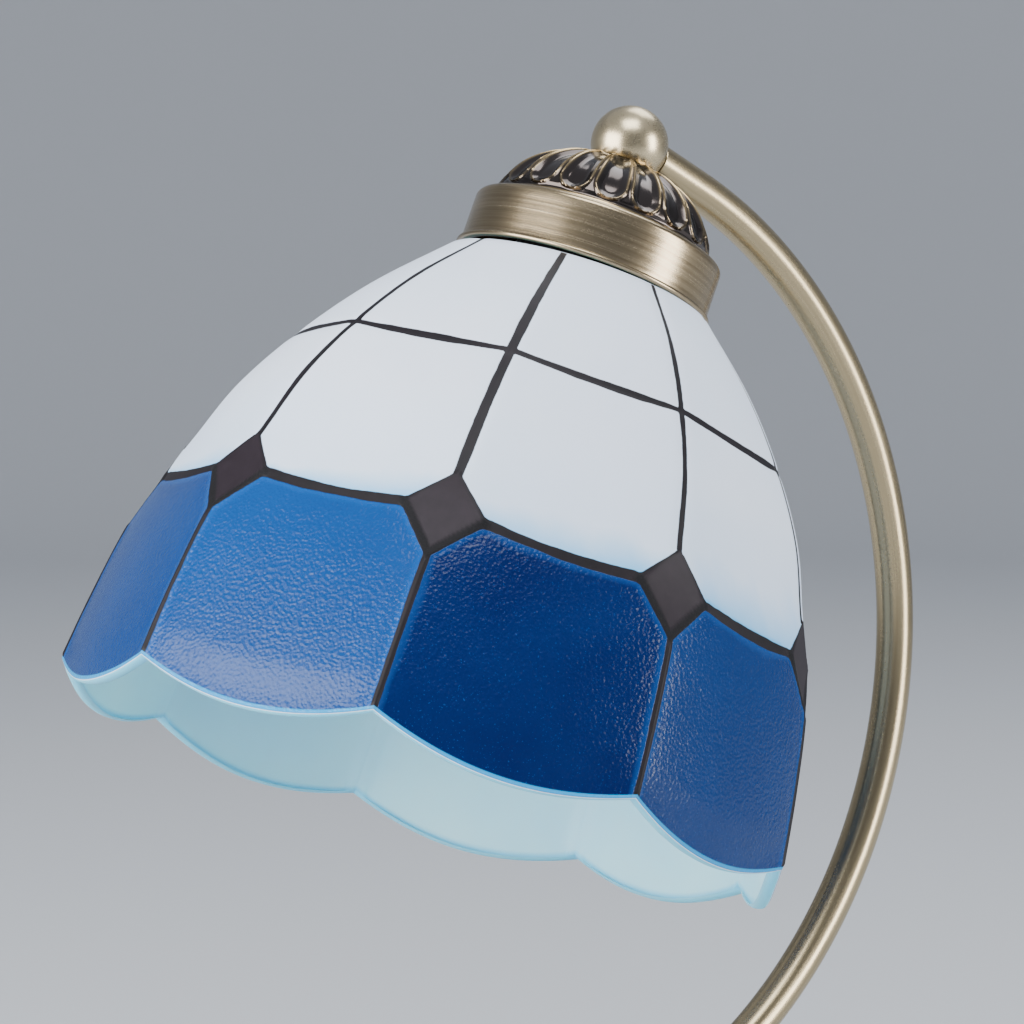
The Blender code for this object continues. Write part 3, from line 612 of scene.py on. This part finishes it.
def outer_skin(z, share, gore):
    """Radius, level and paint distances, in mm, at a level and a share across the gore."""
    rib = smooth_curve(RIBS, z)
    slope = smooth_curve(RIBS, z - 0.5) - smooth_curve(RIBS, z + 0.5)
    a = np.arctan(share * math.tan(HALF))
    off_rib = HALF - np.abs(a)
    reach = rib * math.cos(HALF) / np.cos(a) + PILLOW * (1 - share ** 2)
    side = rib * math.sin(HALF)
    stretch = np.sqrt(1 + slope ** 2)
    x = (1 - np.abs(share)) * side                      # across the surface from the rib

    # the diamond: half-width at each level, and the distance outside its edges
    top = (DIAMOND_TOP_Z - z) / (DIAMOND_TOP_Z - DIAMOND_MID_Z)
    low = (z - DIAMOND_LOW_Z) / (DIAMOND_MID_Z - DIAMOND_LOW_Z)
    wide = np.clip(np.minimum(top, low), 0, 1)
    corner = DIAMOND_MID_R * math.sin(DIAMOND_HALF)
    upper_tall = (DIAMOND_TOP_Z - DIAMOND_MID_Z) * UPPER_SLANT
    lower_tall = (DIAMOND_MID_Z - DIAMOND_LOW_Z) * LOWER_SLANT
    to_upper = (x - corner * top) * upper_tall / math.hypot(corner, upper_tall)
    to_lower = (x - corner * low) * lower_tall / math.hypot(corner, lower_tall)
    diamond = np.maximum(to_upper, to_lower)

    # a flat tile across the rib: it meets the glass softly above and in a wide bevel below
    sunk = (DIAMOND_TOP_Z - z) / (DIAMOND_TOP_Z - DIAMOND_LOW_Z)
    spine = np.interp(-z, [-DIAMOND_TOP_Z, -DIAMOND_LOW_Z], [DIAMOND_TOP_R, DIAMOND_LOW_R])
    tile = (spine - TILE_SAG * sunk * (1 - sunk)) / np.cos(off_rib)
    onto = step_up(-to_upper, 0, 0.9) * step_up(-to_lower, 0, 2.4)
    inside = (diamond < 0) & (wide > 0)

    # lines, in the painter's uneven widths
    in_white = z > DIAMOND_MID_Z
    rib_number = (gore + (share > 0)) % GORES
    broad = np.array(RIB_LINES)[rib_number]
    taper = step_up(RIBS[0][1] - z, 0, 30)
    rib_half = np.where(in_white, broad * (0.72 + 0.28 * taper), 0.95)
    rib_line = x - rib_half - hand(23, z * 0.6 + 51.0 * rib_number, 0.07)
    mid = 1 - share ** 2
    cross_z = CROSSBAR_Z - 0.95 * mid
    cross_half = 0.80 + 0.42 * mid + hand(31, 16 * share + 19.0 * gore, 0.08)
    cross = np.abs(z - cross_z) * stretch
    edge = np.tan(HALF - DIAMOND_HALF) / math.tan(HALF)
    border_z = DIAMOND_MID_Z - 1.1 * np.clip(1 - (share / edge) ** 2, 0, 1)
    border = (z - border_z) * stretch
    border_half = 1.3 + hand(43, 18 * share + 29.0 * gore, 0.12)
    border_line = np.abs(border) - border_half
    line = np.minimum.reduce([rib_line, cross - cross_half, border_line, diamond])

    # relief: grooves along the lines, and blue panels pillowed between beaded ribs
    lift = -0.50 * np.exp(-(x / 1.9) ** 2) * in_white - 0.28 * np.exp(-(cross / 1.7) ** 2)
    blue_edge = np.minimum.reduce([x, -border, np.maximum(diamond, 0)])
    below = step_up(-border, -1.0, 1.5)
    lift += below * (0.24 * (1 - np.exp(-(np.maximum(blue_edge, 0) / 3.6) ** 2)) - 0.14)
    bead = step_up(DIAMOND_LOW_Z + 1.5 - z, 0, 2.5) * step_up(z - CUSP_Z, 0, 1.5)
    lift += 0.45 * bead * np.exp(-(x / 0.95) ** 2)
    reach = np.where(inside, reach + (tile - reach) * onto, reach + lift)

    depth = np.clip((DIAMOND_LOW_Z - z) / (DIAMOND_LOW_Z - CUSP_Z), 0, 1)
    drop = SCALLOP * (1 - (a / HALF) ** 2) * depth ** 1.5
    curl = 1.3 * step_up(CUSP_Z + 10 - z, 0, 10)        # the panels turn in a little at the rim
    fields = {
        "line": line, "blue": -border, "diamond": diamond, "rim": (z - CUSP_Z) * stretch,
        "bevel": inside * (1 - step_up(-to_lower, 1.8, 2.6)),
        # tone: uneven enamel, and on the panels in view painted light and shade
        "tone": np.broadcast_to(np.array(GORE_TONES_AND_SHADING)[gore], z.shape),
        "spray": np.array(GORE_SPRAY)[gore] + 0.3 * share,
    }
    return reach + drop * slope - curl * (1 - share ** 4), z - drop, fields


def build_shade():
    """The glass: outer skin, lip, plainer inner skin and the collar round its hole."""
    shares, angles, gore = shade_columns(60)
    levels = shade_levels()
    z, share = np.meshgrid(levels, shares, indexing="ij")
    gores = np.broadcast_to(gore, z.shape)
    reach, level, fields = outer_skin(z, share, gores)

    # the rim: a rounded lip from the outside to the inside
    r_end, z_end = reach[-1:], level[-1:]
    lip = []
    for turn in np.radians([30, 65, 100, 140, 170]):
        half = GLASS_T / 2
        lip.append((r_end - half + half * math.cos(turn), z_end - 0.45 * half * math.sin(turn)))
    inner_levels = np.linspace(CUSP_Z, -46.0, 40)
    zi, si = np.meshgrid(inner_levels, shares, indexing="ij")
    rib = smooth_curve(RIBS, zi)
    inner_slope = smooth_curve(RIBS, zi - 0.5) - smooth_curve(RIBS, zi + 0.5)
    ai = np.arctan(si * math.tan(HALF))
    flat = rib * math.cos(HALF) / np.cos(ai) + PILLOW * (1 - si ** 2)
    crease = 0.8 * np.exp(-((1 - np.abs(si)) * rib * math.sin(HALF) / 3.0) ** 2)
    depth = np.clip((DIAMOND_LOW_Z - zi) / (DIAMOND_LOW_Z - CUSP_Z), 0, 1)
    drop = SCALLOP * (1 - (ai / HALF) ** 2) * depth ** 1.5
    thick = GLASS_T * np.sqrt(1 + inner_slope ** 2)
    inner = flat - thick - crease + drop * inner_slope
    inner_level = zi - drop

    under = GLASS_TOP - GLASS_T
    collar = [(GLASS_SHOULDER_R - 1.5, under), (GLASS_HOLE_R, under), (GLASS_HOLE_R, GLASS_TOP),
              (GLASS_SHOULDER_R - 1.9, GLASS_TOP), (GLASS_SHOULDER_R, GLASS_TOP)]
    one_row = np.ones((1, len(shares)))
    top = [(radius * one_row, height * one_row) for radius, height in collar]
    parts = [(reach, level)] + lip + [(inner, inner_level)] + top
    radius = np.concatenate([p[0] for p in parts]) * MM
    height = np.concatenate([p[1] for p in parts]) * MM
    co = np.stack([radius * np.cos(angles), radius * np.sin(angles), height], -1)
    count, width = radius.shape
    outer_rows = len(levels)
    mesh = grid_mesh("painted_shade", co, closed_rows=True)
    elsewhere = {"line": 9.0, "blue": -60.0, "diamond": 9.0, "rim": 60.0, "spray": 1.0}
    for name, values in fields.items():
        full = np.full((count, width), elsewhere.get(name, 0.0))
        full[:outer_rows] = values
        if name == "rim":
            full[outer_rows:outer_rows + len(lip)] = 0.0
            start = outer_rows + len(lip)
            full[start:start + len(inner_levels)] = zi - CUSP_Z
        layer = mesh.attributes.new(name, "FLOAT", "POINT")
        layer.data.foreach_set("value", full.astype(np.float32).ravel())
    mesh.materials.append(M["painted_glass"])
    mesh.materials.append(M["frosted_glass"])
    bare = np.zeros((count, width), np.int32)
    bare[outer_rows:outer_rows + len(lip) + len(inner_levels) + 3] = 1
    bare[outer_rows - 1] = 0
    mesh.polygons.foreach_set("material_index", bare.ravel())
    finish_mesh("painted_shade", mesh, "head", None, 60, GLASS, "glass_shade")


# ------------------------------------------------------------ brass cap, base and arm

CAP_R = 32.9 * MM
CAP_TOP = -24.4 * MM
CAP_LIP = -39.2 * MM
GAP = 0.3 * MM
HOLE = 5.3 * MM
DOME_R = 28.3 * MM
DOME_RISE = 18.9 * MM               # height the dome would have without its seat
DOME_SEAT_R = 8.6 * MM
PETALS = 18


def fluted_dome(name, body, matrix, node):
    """The cast dome: long dished petals between slender rubbed ridges, with rounded feet."""
    base = CAP_TOP + GAP
    wall = 1.6 * MM
    columns = PETALS * 32
    outer_rows = 72
    angles = np.arange(columns) / columns * 2 * math.pi
    across = (angles * PETALS / math.pi) % 2 - 1        # -1 to 1 over each petal
    down = np.linspace(0, 1, outer_rows)[:, None]
    phi = math.acos(DOME_SEAT_R / DOME_R) * (1 - down)
    radius = DOME_R * np.cos(phi)
    level = base + DOME_RISE * np.sin(phi)
    out, up = np.cos(phi) / DOME_R, np.sin(phi) / DOME_RISE
    steep = np.hypot(out, up)
    pitch_half = radius / MM * math.pi / PETALS

    # d is how far a point lies outside its petal's edge, in mm
    turn, end = 0.74, 0.17
    width = 0.80
    straight = (np.abs(across) - width) * pitch_half
    past = np.maximum(down - turn, 0) / end
    round_end = (np.hypot(across / width, past) - 1) * width * pitch_half
    d = np.where(down < turn, straight, round_end)
    ridge = np.exp(-((d - 0.22) / 0.34) ** 2)
    dish = -1.05 * (1 - np.exp(-(np.minimum(d, 0) / 1.1) ** 2))
    shown = step_up(down, 0.02, 0.12) * (1 - step_up(down, 0.93, 0.97))
    foot = step_up(down, 0.95, 0.97)
    groove = step_up(down, 0.90, 0.93) * (1 - foot)
    lift = shown * (0.50 * ridge + dish) - 0.35 * groove
    reach = radius + lift * MM * out / steep
    height = level + lift * MM * up / steep
    rows = [np.stack([reach * np.cos(angles), reach * np.sin(angles), height + 0 * angles], -1)]
    inner_seat = math.acos(DOME_SEAT_R / (DOME_R - wall))
    for t in np.linspace(0, inner_seat, 10):
        r = (DOME_R - wall) * math.cos(t)
        z = base + (DOME_RISE - wall) * math.sin(t)
        rows.append(np.stack([r * np.cos(angles), r * np.sin(angles), np.full(columns, z)], -1)[None])
    co = np.concatenate(rows)
    mesh = grid_mesh(name, co, closed_rows=True)
    wear = np.zeros(co.shape[:2])
    on_ridges = step_up(lift, -0.05, 0.5) * shown * (1 - 0.7 * step_up(down, 0.45, 0.85))
    on_edges = 0.8 * np.maximum(foot, 0.8 * (down < 0.05))
    wear[:outer_rows] = np.maximum(on_ridges, on_edges)
    layer = mesh.attributes.new("wear", "FLOAT", "POINT")
    layer.data.foreach_set("value", np.clip(wear, 0, 1).astype(np.float32).ravel())
    finish_mesh(name, mesh, body, "dark_brass", 60, matrix, node)


def brushed_band(name, body, matrix, node):
    """The spun band: flat ledge, soft shoulder, brushed side and a rolled lip."""
    edge = 1.6 * MM
    wall = 1.0 * MM
    lip = 0.75 * MM
    corner = (CAP_R - edge, CAP_TOP - edge)
    loop = [(HOLE, CAP_TOP), (DOME_R - 2 * MM, CAP_TOP), (DOME_R, CAP_TOP)]
    loop += arc(corner, edge, 90, 0, 10)
    side = np.linspace(CAP_TOP - edge, CAP_LIP + 2.2 * lip, 8)[1:]
    loop += [(CAP_R, float(level)) for level in side]
    loop += arc((CAP_R + 0.25 * MM, CAP_LIP + lip), lip, 108, -90, 12)
    loop += [(CAP_R - wall, CAP_LIP + 0.2 * MM), (CAP_R - wall, CAP_TOP - edge)]
    loop += arc(corner, edge - wall, 0, 90, 5)
    loop += [(HOLE, CAP_TOP - wall)]
    finish(name, turned(loop, 168), body, "band_brass", 50, matrix, node)


def brass_ball(name, centre, arm_way, nipple_way):
    """A turned ball, drilled for its nipple and the arm."""
    profile = [(0, BALL_R)] + arc((0, 0), BALL_R, 90, -90, 48)[1:-1] + [(0, -BALL_R)]
    ball = turned(profile, 96)
    depth = 5.3 * MM
    reach = 1.5 * BALL_R
    mesh = drill(ball, [(HOLE, nipple_way * depth, nipple_way * reach),
                        (HOLE, arm_way * depth, arm_way * reach)])
    finish_mesh(name, mesh, "stand", "antique_brass", 40,
                Matrix.Translation(centre), name)


ARM_R = 132.0 * MM
ARM_DROP = (UPPER.z - LOWER.z) / 2
ARM_BACK = 35.9 * MM
TUBE_R = 5.0 * MM
TUBE_BORE = 4.0 * MM


def build_arm():
    """The arched tube, whose full width stops just short of each ball, and the two balls."""
    straight = math.sqrt(ARM_BACK ** 2 + ARM_DROP ** 2 - ARM_R ** 2)
    half = math.atan2(ARM_DROP, ARM_BACK) - math.atan2(straight, ARM_R)
    upper_way = Vector((math.sin(half), 0.0, -math.cos(half)))
    lower_way = Vector((math.sin(half), 0.0, math.cos(half)))
    shoulder = 9.1 * MM
    steps = [5.6 * MM, shoulder - 0.16 * MM, shoulder, shoulder + 0.16 * MM, 14 * MM, 20 * MM]
    middle = Vector((-ARM_BACK, 0.0, LOWER.z + ARM_DROP))
    path = [UPPER + upper_way * step for step in steps]
    for a in np.linspace(half, -half, 150):
        path.append(middle + ARM_R * Vector((math.cos(a), 0.0, math.sin(a))))
    path += [LOWER + lower_way * step for step in steps[::-1]]
    last = len(path) - 1
    spigot = TUBE_R - 0.35 * MM
    start = [spigot, spigot, TUBE_R - 0.12 * MM, TUBE_R]
    outside = [(i, r) for i, r in enumerate(start)] + [(i, TUBE_R) for i in range(4, last - 3)]
    outside += [(last - 3 + i, r) for i, r in enumerate(start[::-1])]
    inside = [(i, TUBE_BORE) for i in range(last, -1, -2)]
    if inside[-1][0] != 0:
        inside.append((0, TUBE_BORE))
    finish("brass_arm", swept(path, outside + inside, 40), "stand",
           "tube_brass", 35, WORLD, "arm_tube")
    brass_ball("upper_ball", UPPER, upper_way, -AXIS)
    brass_ball("lower_ball", LOWER, lower_way, Vector((0, 0, -1)))


SWITCH = (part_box("switch_button")[0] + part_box("switch_button")[1]) / 2
OUTLET = (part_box("outlet_bush")[0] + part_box("outlet_bush")[1]) / 2


def build_base():
    """The pressed shell, drilled for the switch and the outlet, and the felt under it."""
    outer_r = SHELL_HIGH.x
    top = SHELL_HIGH.z
    low = SHELL_LOW.z
    wall = 1.2 * MM
    shoulder = 5.5 * MM
    corner = (outer_r - shoulder, top - shoulder)
    hem = 0.4 * MM
    loop = [(HOLE, top), (30 * MM, top), (outer_r - 2 * shoulder, top)]
    loop += arc(corner, shoulder, 90, 0, 14) + [(outer_r, low + 1.4 * MM)]
    loop += arc((outer_r - hem, low + hem), hem, 0, -90, 4)
    loop += [(outer_r - wall, low), (outer_r - wall, top - shoulder)]
    loop += arc(corner, shoulder - wall, 0, 90, 8)[1:] + [(HOLE, top - wall)]
    hole_r = (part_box("outlet_bush")[1].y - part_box("outlet_bush")[0].y) / 2 - 1.3 * MM
    switch_low = Vector((SWITCH.x, 0, top - 5 * MM))
    out_low = Vector((outer_r - 5 * MM, 0, OUTLET.z))
    mesh = drill(turned(loop, 192), [(HOLE, switch_low, switch_low + Vector((0, 0, 20 * MM))),
                                     (hole_r, out_low, out_low + Vector((20 * MM, 0, 0)))])
    finish_mesh("pressed_base", mesh, "stand", "base_brass", 40, WORLD,
                "base_shell")
    felt_low, felt_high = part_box("felt_pad")
    r, t = felt_high.x, felt_high.z
    edge = 0.5 * MM
    pad = [(0, t), (r - edge, t)] + arc((r - edge, t - edge), edge, 80, 0, 4)
    pad += arc((r - edge, edge), edge, 0, -90, 4) + [(0, felt_low.z)]
    finish("felt_disc", turned(pad, 160), "stand", "felt", 60, WORLD, "felt_pad")


def build_switch():
    """The bezel and button on the base, and the lead's outlet bush."""
    low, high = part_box("switch_bezel")
    r = (high.x - low.x) / 2
    top = high.z
    groove = 0.25 * MM
    bezel = [(HOLE, top - 0.2 * MM), (HOLE + 0.2 * MM, top), (r - 2.2 * MM, top),
             (r - 1.9 * MM, top - groove), (r - 1.6 * MM, top)]
    bezel += arc((r - 0.9 * MM, top - 0.9 * MM), 0.9 * MM, 80, 0, 6) + [(r, low.z), (HOLE, low.z)]
    spot = Matrix.Translation((SWITCH.x, 0, 0))
    finish("push_bezel", turned(bezel, 96), "stand", "band_brass", 40, spot,
           "switch_bezel")
    low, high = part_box("switch_button")
    r = (high.x - low.x) / 2
    dome = 1.0 * MM
    cap = [(0, high.z), (r * 0.35, high.z - 0.06 * MM), (r * 0.62, high.z - 0.22 * MM)]
    cap += arc((r - 0.7 * MM, high.z - dome - 0.2 * MM), 0.7 * MM, 70, 0, 6)
    cap += [(r, low.z + 0.3 * MM), (r - 0.3 * MM, low.z), (0, low.z)]
    finish("push_button", turned(cap, 72), "button", "bright_brass", 40, spot,
           "switch_button")
    low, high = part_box("outlet_bush")
    length = high.x - low.x
    flange = (high.y - low.y) / 2
    bore, barrel = 2.8 * MM, 4.0 * MM
    shoulder = length - 1.4 * MM
    bush = [(bore + 0.4 * MM, 0), (barrel, 0), (barrel, shoulder), (flange, shoulder)]
    bush += arc((flange - 0.7 * MM, length - 0.7 * MM), 0.7 * MM, 0, 90, 5)
    bush += arc((bore + 0.6 * MM, length - 0.6 * MM), 0.6 * MM, 90, 180, 4) + [(bore, 0.4 * MM)]
    sideways = Matrix.Translation((low.x, 0, OUTLET.z)) @ Matrix.Rotation(math.radians(90), 4, "Y")
    finish("lead_bush", turned(bush, 72), "stand", "bakelite", 40, sideways,
           "outlet_bush")


# ------------------------------------------------------------ lampholder and bulb

THREAD = 3.629 * MM                 # an E27 lamp thread's pitch
HOLDER_R = 19.6 * MM
HOLDER_TOP = -33.0 * MM
HOLDER_JOIN = -52.0 * MM
HOLDER_MOUTH = -76.0 * MM
SCREW_R = 13.6 * MM
GLOBE_R = 22.5 * MM
GLOBE_Z = -106.6 * MM
CAP_LOW = -80.0 * MM


def knurled(outer_r, low, high, teeth, depth):
    """A shape that sinks grooves along a turned piece's outside, between two levels."""
    def shape(radius, level, angle):
        if abs(radius - outer_r) < 0.05 * MM and low < level < high:
            radius -= depth * (0.5 + 0.5 * math.cos(teeth * angle)) ** 3
        return radius, level
    return shape


def build_holder():
    """The lampholder's cap and threaded skirt, its clamp ring and washer, and the screw shell."""
    wall = 1.7 * MM
    inner_r = HOLDER_R - wall
    edge = 1.5 * MM
    cap = [(HOLE, HOLDER_TOP)] + arc((HOLDER_R - edge, HOLDER_TOP - edge), edge, 90, 0, 8)
    for level in np.linspace(HOLDER_TOP - 4 * MM, HOLDER_JOIN + 1.2 * MM, 10):
        cap.append((HOLDER_R, float(level)))
    cap += [(HOLDER_R, HOLDER_JOIN), (inner_r, HOLDER_JOIN), (inner_r, HOLDER_TOP - 2 * MM),
            (HOLE, HOLDER_TOP - 2 * MM)]
    grip = knurled(HOLDER_R, HOLDER_JOIN + 0.5 * MM, HOLDER_TOP - 3 * MM, 36, 0.5 * MM)
    finish("holder_dome", turned(cap, 216, grip), "head", "bakelite", 40, HEAD,
           "holder_cap")
    sleeve_r = inner_r - GAP
    bore_r = sleeve_r - wall
    top = -44.0 * MM
    body = [(bore_r, top), (sleeve_r, top), (sleeve_r, HOLDER_JOIN - GAP)]
    body += [(HOLDER_R, HOLDER_JOIN - GAP), (HOLDER_R, HOLDER_JOIN - 2 * MM)]
    pitch = 2.4 * MM
    turn_low = HOLDER_MOUTH + 4 * MM
    for level in np.linspace(HOLDER_JOIN - 2.2 * MM, turn_low, 64):
        body.append((HOLDER_R, float(level)))
    body += arc((HOLDER_R - 0.8 * MM, HOLDER_MOUTH + 0.8 * MM), 0.8 * MM, 0, -90, 4)
    body += arc((bore_r + 0.6 * MM, HOLDER_MOUTH + 0.6 * MM), 0.6 * MM, -90, -180, 3)

    def threaded(radius, level, angle):
        if radius > HOLDER_R - 0.02 * MM and turn_low <= level <= HOLDER_JOIN - 2.2 * MM:
            wave = math.cos(2 * math.pi * level / pitch + angle)
            radius -= 0.7 * MM * (0.5 - 0.5 * wave)
        return radius, level

    finish("holder_skirt", turned(body, 96, threaded), "head", "bakelite", 40, HEAD,
           "holder_body")
    low, high = -51.0 * MM, -46.36 * MM
    ring_r, collar_r = 27.0 * MM, 23.0 * MM
    inside = HOLDER_R + GAP
    ring = [(inside, high), (ring_r - 0.5 * MM, high), (ring_r, high - 0.5 * MM),
            (ring_r, high - 1.3 * MM), (ring_r - 0.5 * MM, high - 1.8 * MM),
            (collar_r + 1 * MM, high - 1.8 * MM), (collar_r, high - 2.6 * MM)]
    ring += [(collar_r, level) for level in (high - 3 * MM, low + 1 * MM)]
    ring += [(collar_r - 0.6 * MM, low), (inside, low)]
    grip = knurled(collar_r, low + 0.5 * MM, high - 2.8 * MM, 40, 0.6 * MM)
    finish("clamp_ring", turned(ring, 240, grip), "head", "bakelite", 40, HEAD,
           "shade_ring")
    washer_r, top, low = 26.5 * MM, -45.06 * MM, -46.06 * MM
    soft = 0.3 * MM
    washer = [(inside, top), (washer_r - soft, top), (washer_r, top - soft), (washer_r, low + soft),
              (washer_r - soft, low), (inside, low)]
    finish("soft_washer", turned(washer, 96), "head", "silicone", 40, HEAD,
           "shade_washer")
    shell = [(SCREW_R + 0.6 * MM, -52.3 * MM), (SCREW_R + 0.6 * MM, HOLDER_MOUTH + 3 * MM)]
    for level in np.linspace(HOLDER_MOUTH + 3 * MM, -52.3 * MM, 60):
        shell.append((SCREW_R, float(level)))

    def rolled(radius, level, angle):
        wave = 0.5 + 0.5 * math.cos(2 * math.pi * level / THREAD + angle)
        return radius + (0.35 * MM * wave if radius < SCREW_R + 0.1 * MM else 0.0), level

    finish("rolled_shell", turned(shell, 72, rolled), "head", "bright_brass", 40,
           HEAD, "screw_shell")


def build_bulb():
    """A frosted globe bulb with a rolled screw cap."""
    cap_r = 13.1 * MM
    high = -59.9 * MM
    wall = 0.4 * MM
    cap = [(cap_r - 0.9 * MM, high)]
    for level in np.linspace(high - 0.3 * MM, CAP_LOW + 4 * MM, 64):
        cap.append((cap_r, float(level)))
    cap += [(cap_r - 0.1 * MM, CAP_LOW + 3 * MM), (cap_r, CAP_LOW + 0.4 * MM)]
    cap += [(cap_r - 0.2 * MM, CAP_LOW), (cap_r - 0.2 * MM - wall, CAP_LOW)]
    cap += [(cap_r - 0.9 * MM - wall, high)]
    turn_low = CAP_LOW + 4 * MM

    def rolled(radius, level, angle):
        if radius > cap_r - 0.05 * MM and turn_low <= level <= high - 0.2 * MM:
            wave = 0.5 + 0.5 * math.cos(2 * math.pi * level / THREAD + angle)
            fade = min(1.0, (level - turn_low) / (2 * MM))
            radius -= 0.65 * MM * wave * fade
        return radius, level

    finish("bulb_screw", turned(cap, 96, rolled), "bulb", "aluminium", 50, HEAD,
           "bulb_cap")
    neck_r = cap_r - 0.8 * MM
    neck_low = CAP_LOW - 2 * MM
    wall = 0.9 * MM
    globe = [(neck_r, CAP_LOW + 5 * MM), (neck_r, neck_low + 0.5 * MM)]
    high_deg = 48                       # where the neck's flare meets the sphere
    shoulder = arc((0, GLOBE_Z), GLOBE_R, high_deg, -90, 44)
    neck = Vector((neck_r, neck_low + 0.5 * MM))
    join = Vector(shoulder[0])
    lean = Vector((math.sin(math.radians(high_deg)), -math.cos(math.radians(high_deg))))
    pull = 8 * MM
    for t in np.linspace(0, 1, 9)[1:-1]:
        globe.append(tuple(hermite(neck, Vector((0, -1)) * pull, join, lean * pull, float(t))))
    globe += shoulder[:-1] + [(0, GLOBE_Z - GLOBE_R)]
    inside = [(0, GLOBE_Z - GLOBE_R + wall)] + arc((0, GLOBE_Z), GLOBE_R - wall, -90, high_deg, 20)[1:]
    inside += [(neck_r - wall, neck_low), (neck_r - wall, CAP_LOW + 5 * MM)]
    finish("bulb_envelope", turned(globe + inside, 96), "bulb", "bulb_glass", 50,
           HEAD, "bulb_globe")


def hermite(a, a_way, b, b_way, t):
    """A point on the curve from a to b that leaves and arrives along the given ways."""
    return ((2 * t ** 3 - 3 * t ** 2 + 1) * a + (t ** 3 - 2 * t ** 2 + t) * a_way
            + (3 * t ** 2 - 2 * t ** 3) * b + (t ** 3 - t ** 2) * b_way)


# ------------------------------------------------------------ pieces kept from the frame

KEPT = {
    "steel": ["head_nipple", "cap_locknut", "base_nipple", "base_washer", "base_nut", "base_plate",
              "base_screw_1", "base_screw_2", "base_screw_3"],
    "cast_iron": ["base_weight"],
    "bakelite": ["switch_body", "bulb_insulator"],
    "porcelain": ["holder_insulator"],
    "bright_brass": ["centre_contact"],
    "aluminium": ["bulb_contact"],
    "lead_sheath": ["inner_lead"],
}


def dress_kept_nodes():
    """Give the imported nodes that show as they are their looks."""
    for look, names in KEPT.items():
        for name in names:
            for socket in NODES[name].material_slots:
                socket.material = M[look]


# ------------------------------------------------------------ studio and camera

def studio_material(name, color):
    g = Graph(name)
    g.set(Base_Color=color, Roughness=0.9)
    return g.mat


def build_floor():
    """A pale floor that sweeps up into a wall all round."""
    floor_r, wall_r, wall_top = 2.6, 3.8, 3.4
    bend = wall_r - floor_r
    profile = [(0, 0)] + [(r, 0) for r in (0.3, 1.0, 1.8, floor_r)]
    profile += arc((floor_r, bend), bend, -90, 0, 16)[1:] + [(wall_r, wall_top)]
    bm = turned(profile, 96, closed=False)
    mesh = bpy.data.meshes.new("floor")
    bm.to_mesh(mesh)
    bm.free()
    mesh.shade_smooth()
    mesh.materials.append(studio_material("floor_paper", (0.52, 0.535, 0.56)))
    floor = bpy.data.objects.new("floor", mesh)
    bpy.context.scene.collection.objects.link(floor)


def soft_light(name, way, distance, size, power, target, color=(1.0, 1.0, 1.0)):
    """A rectangular softbox that stands in a direction from the target and faces it."""
    data = bpy.data.lights.new(name, "AREA")
    data.shape = "RECTANGLE"
    data.size, data.size_y = size
    data.energy = power
    data.color = color
    lamp = bpy.data.objects.new(name, data)
    way = Vector(way).normalized()
    lamp.location = target + way * distance
    lamp.rotation_euler = (-way).to_track_quat("-Z", "Y").to_euler()
    lamp.visible_camera = False
    bpy.context.scene.collection.objects.link(lamp)


YAW = math.radians(39.36)
DOWN_TILT = math.radians(4.06)
LENS_MM = 149.94
CAMERA_RIGHT, CAMERA_BELOW, CAMERA_AHEAD = -0.02831, 0.09418, -1.0927       # of the glass's origin
COOL_WHITE = (0.94, 0.97, 1.0)


def view_axes():
    """The camera's right, forward and down."""
    forward = Vector((math.sin(YAW) * math.cos(DOWN_TILT), math.cos(YAW) * math.cos(DOWN_TILT),
                      -math.sin(DOWN_TILT)))
    right = Vector((math.cos(YAW), -math.sin(YAW), 0.0))
    return right, forward, forward.cross(right)


def build_camera():
    """A long lens about level with the cap, seeing the head and most of the arm."""
    right, forward, below = view_axes()
    data = bpy.data.cameras.new("camera")
    data.lens = LENS_MM
    data.sensor_width = 36.0
    data.clip_start = 0.05
    camera = bpy.data.objects.new("camera", data)
    turn = Matrix((right, -below, -forward)).transposed().to_4x4()
    spot = GLASS_SPOT + CAMERA_RIGHT * right + CAMERA_BELOW * below + CAMERA_AHEAD * forward
    camera.matrix_world = Matrix.Translation(spot) @ turn
    bpy.context.scene.collection.objects.link(camera)
    bpy.context.scene.camera = camera


def build_lights():
    """Softboxes left and right of the camera, two overhead, in front and behind, and a dim sky."""
    right, forward, below = view_axes()
    middle = (UPPER + LOWER) / 2 + Vector((0.0, 0.0, 0.06))
    left_side = -0.80 * right - 0.58 * forward - 0.12 * below
    right_side = 0.93 * right - 0.33 * forward - 0.05 * below
    front_top = 0.05 * right - 0.50 * forward - 0.86 * below
    back_top = 0.30 * right + 0.45 * forward - 0.85 * below
    soft_light("key", left_side, 1.5, (1.25, 1.3), 52.0, middle)
    soft_light("side", right_side, 1.5, (0.5, 1.0), 20.0, middle)
    soft_light("front", front_top, 1.9, (1.2, 0.9), 26.0, middle, COOL_WHITE)
    soft_light("top", back_top, 1.9, (1.0, 1.0), 14.0, middle, COOL_WHITE)
    world = bpy.data.worlds.new("studio")
    world.use_nodes = True
    back = world.node_tree.nodes["Background"]
    back.inputs["Color"].default_value = (0.78, 0.84, 0.95, 1.0)
    back.inputs["Strength"].default_value = 0.6
    bpy.context.scene.world = world


build_shade()
fluted_dome("cap_petals", "head", HEAD, "cap_dome")
fluted_dome("base_petals", "stand", FOOT, "base_dome")
brushed_band("cap_rim", "head", HEAD, "cap_band")
brushed_band("base_rim", "stand", FOOT, "base_band")
build_arm()
build_base()
build_switch()
build_holder()
build_bulb()
dress_kept_nodes()
build_floor()
build_lights()
build_camera()
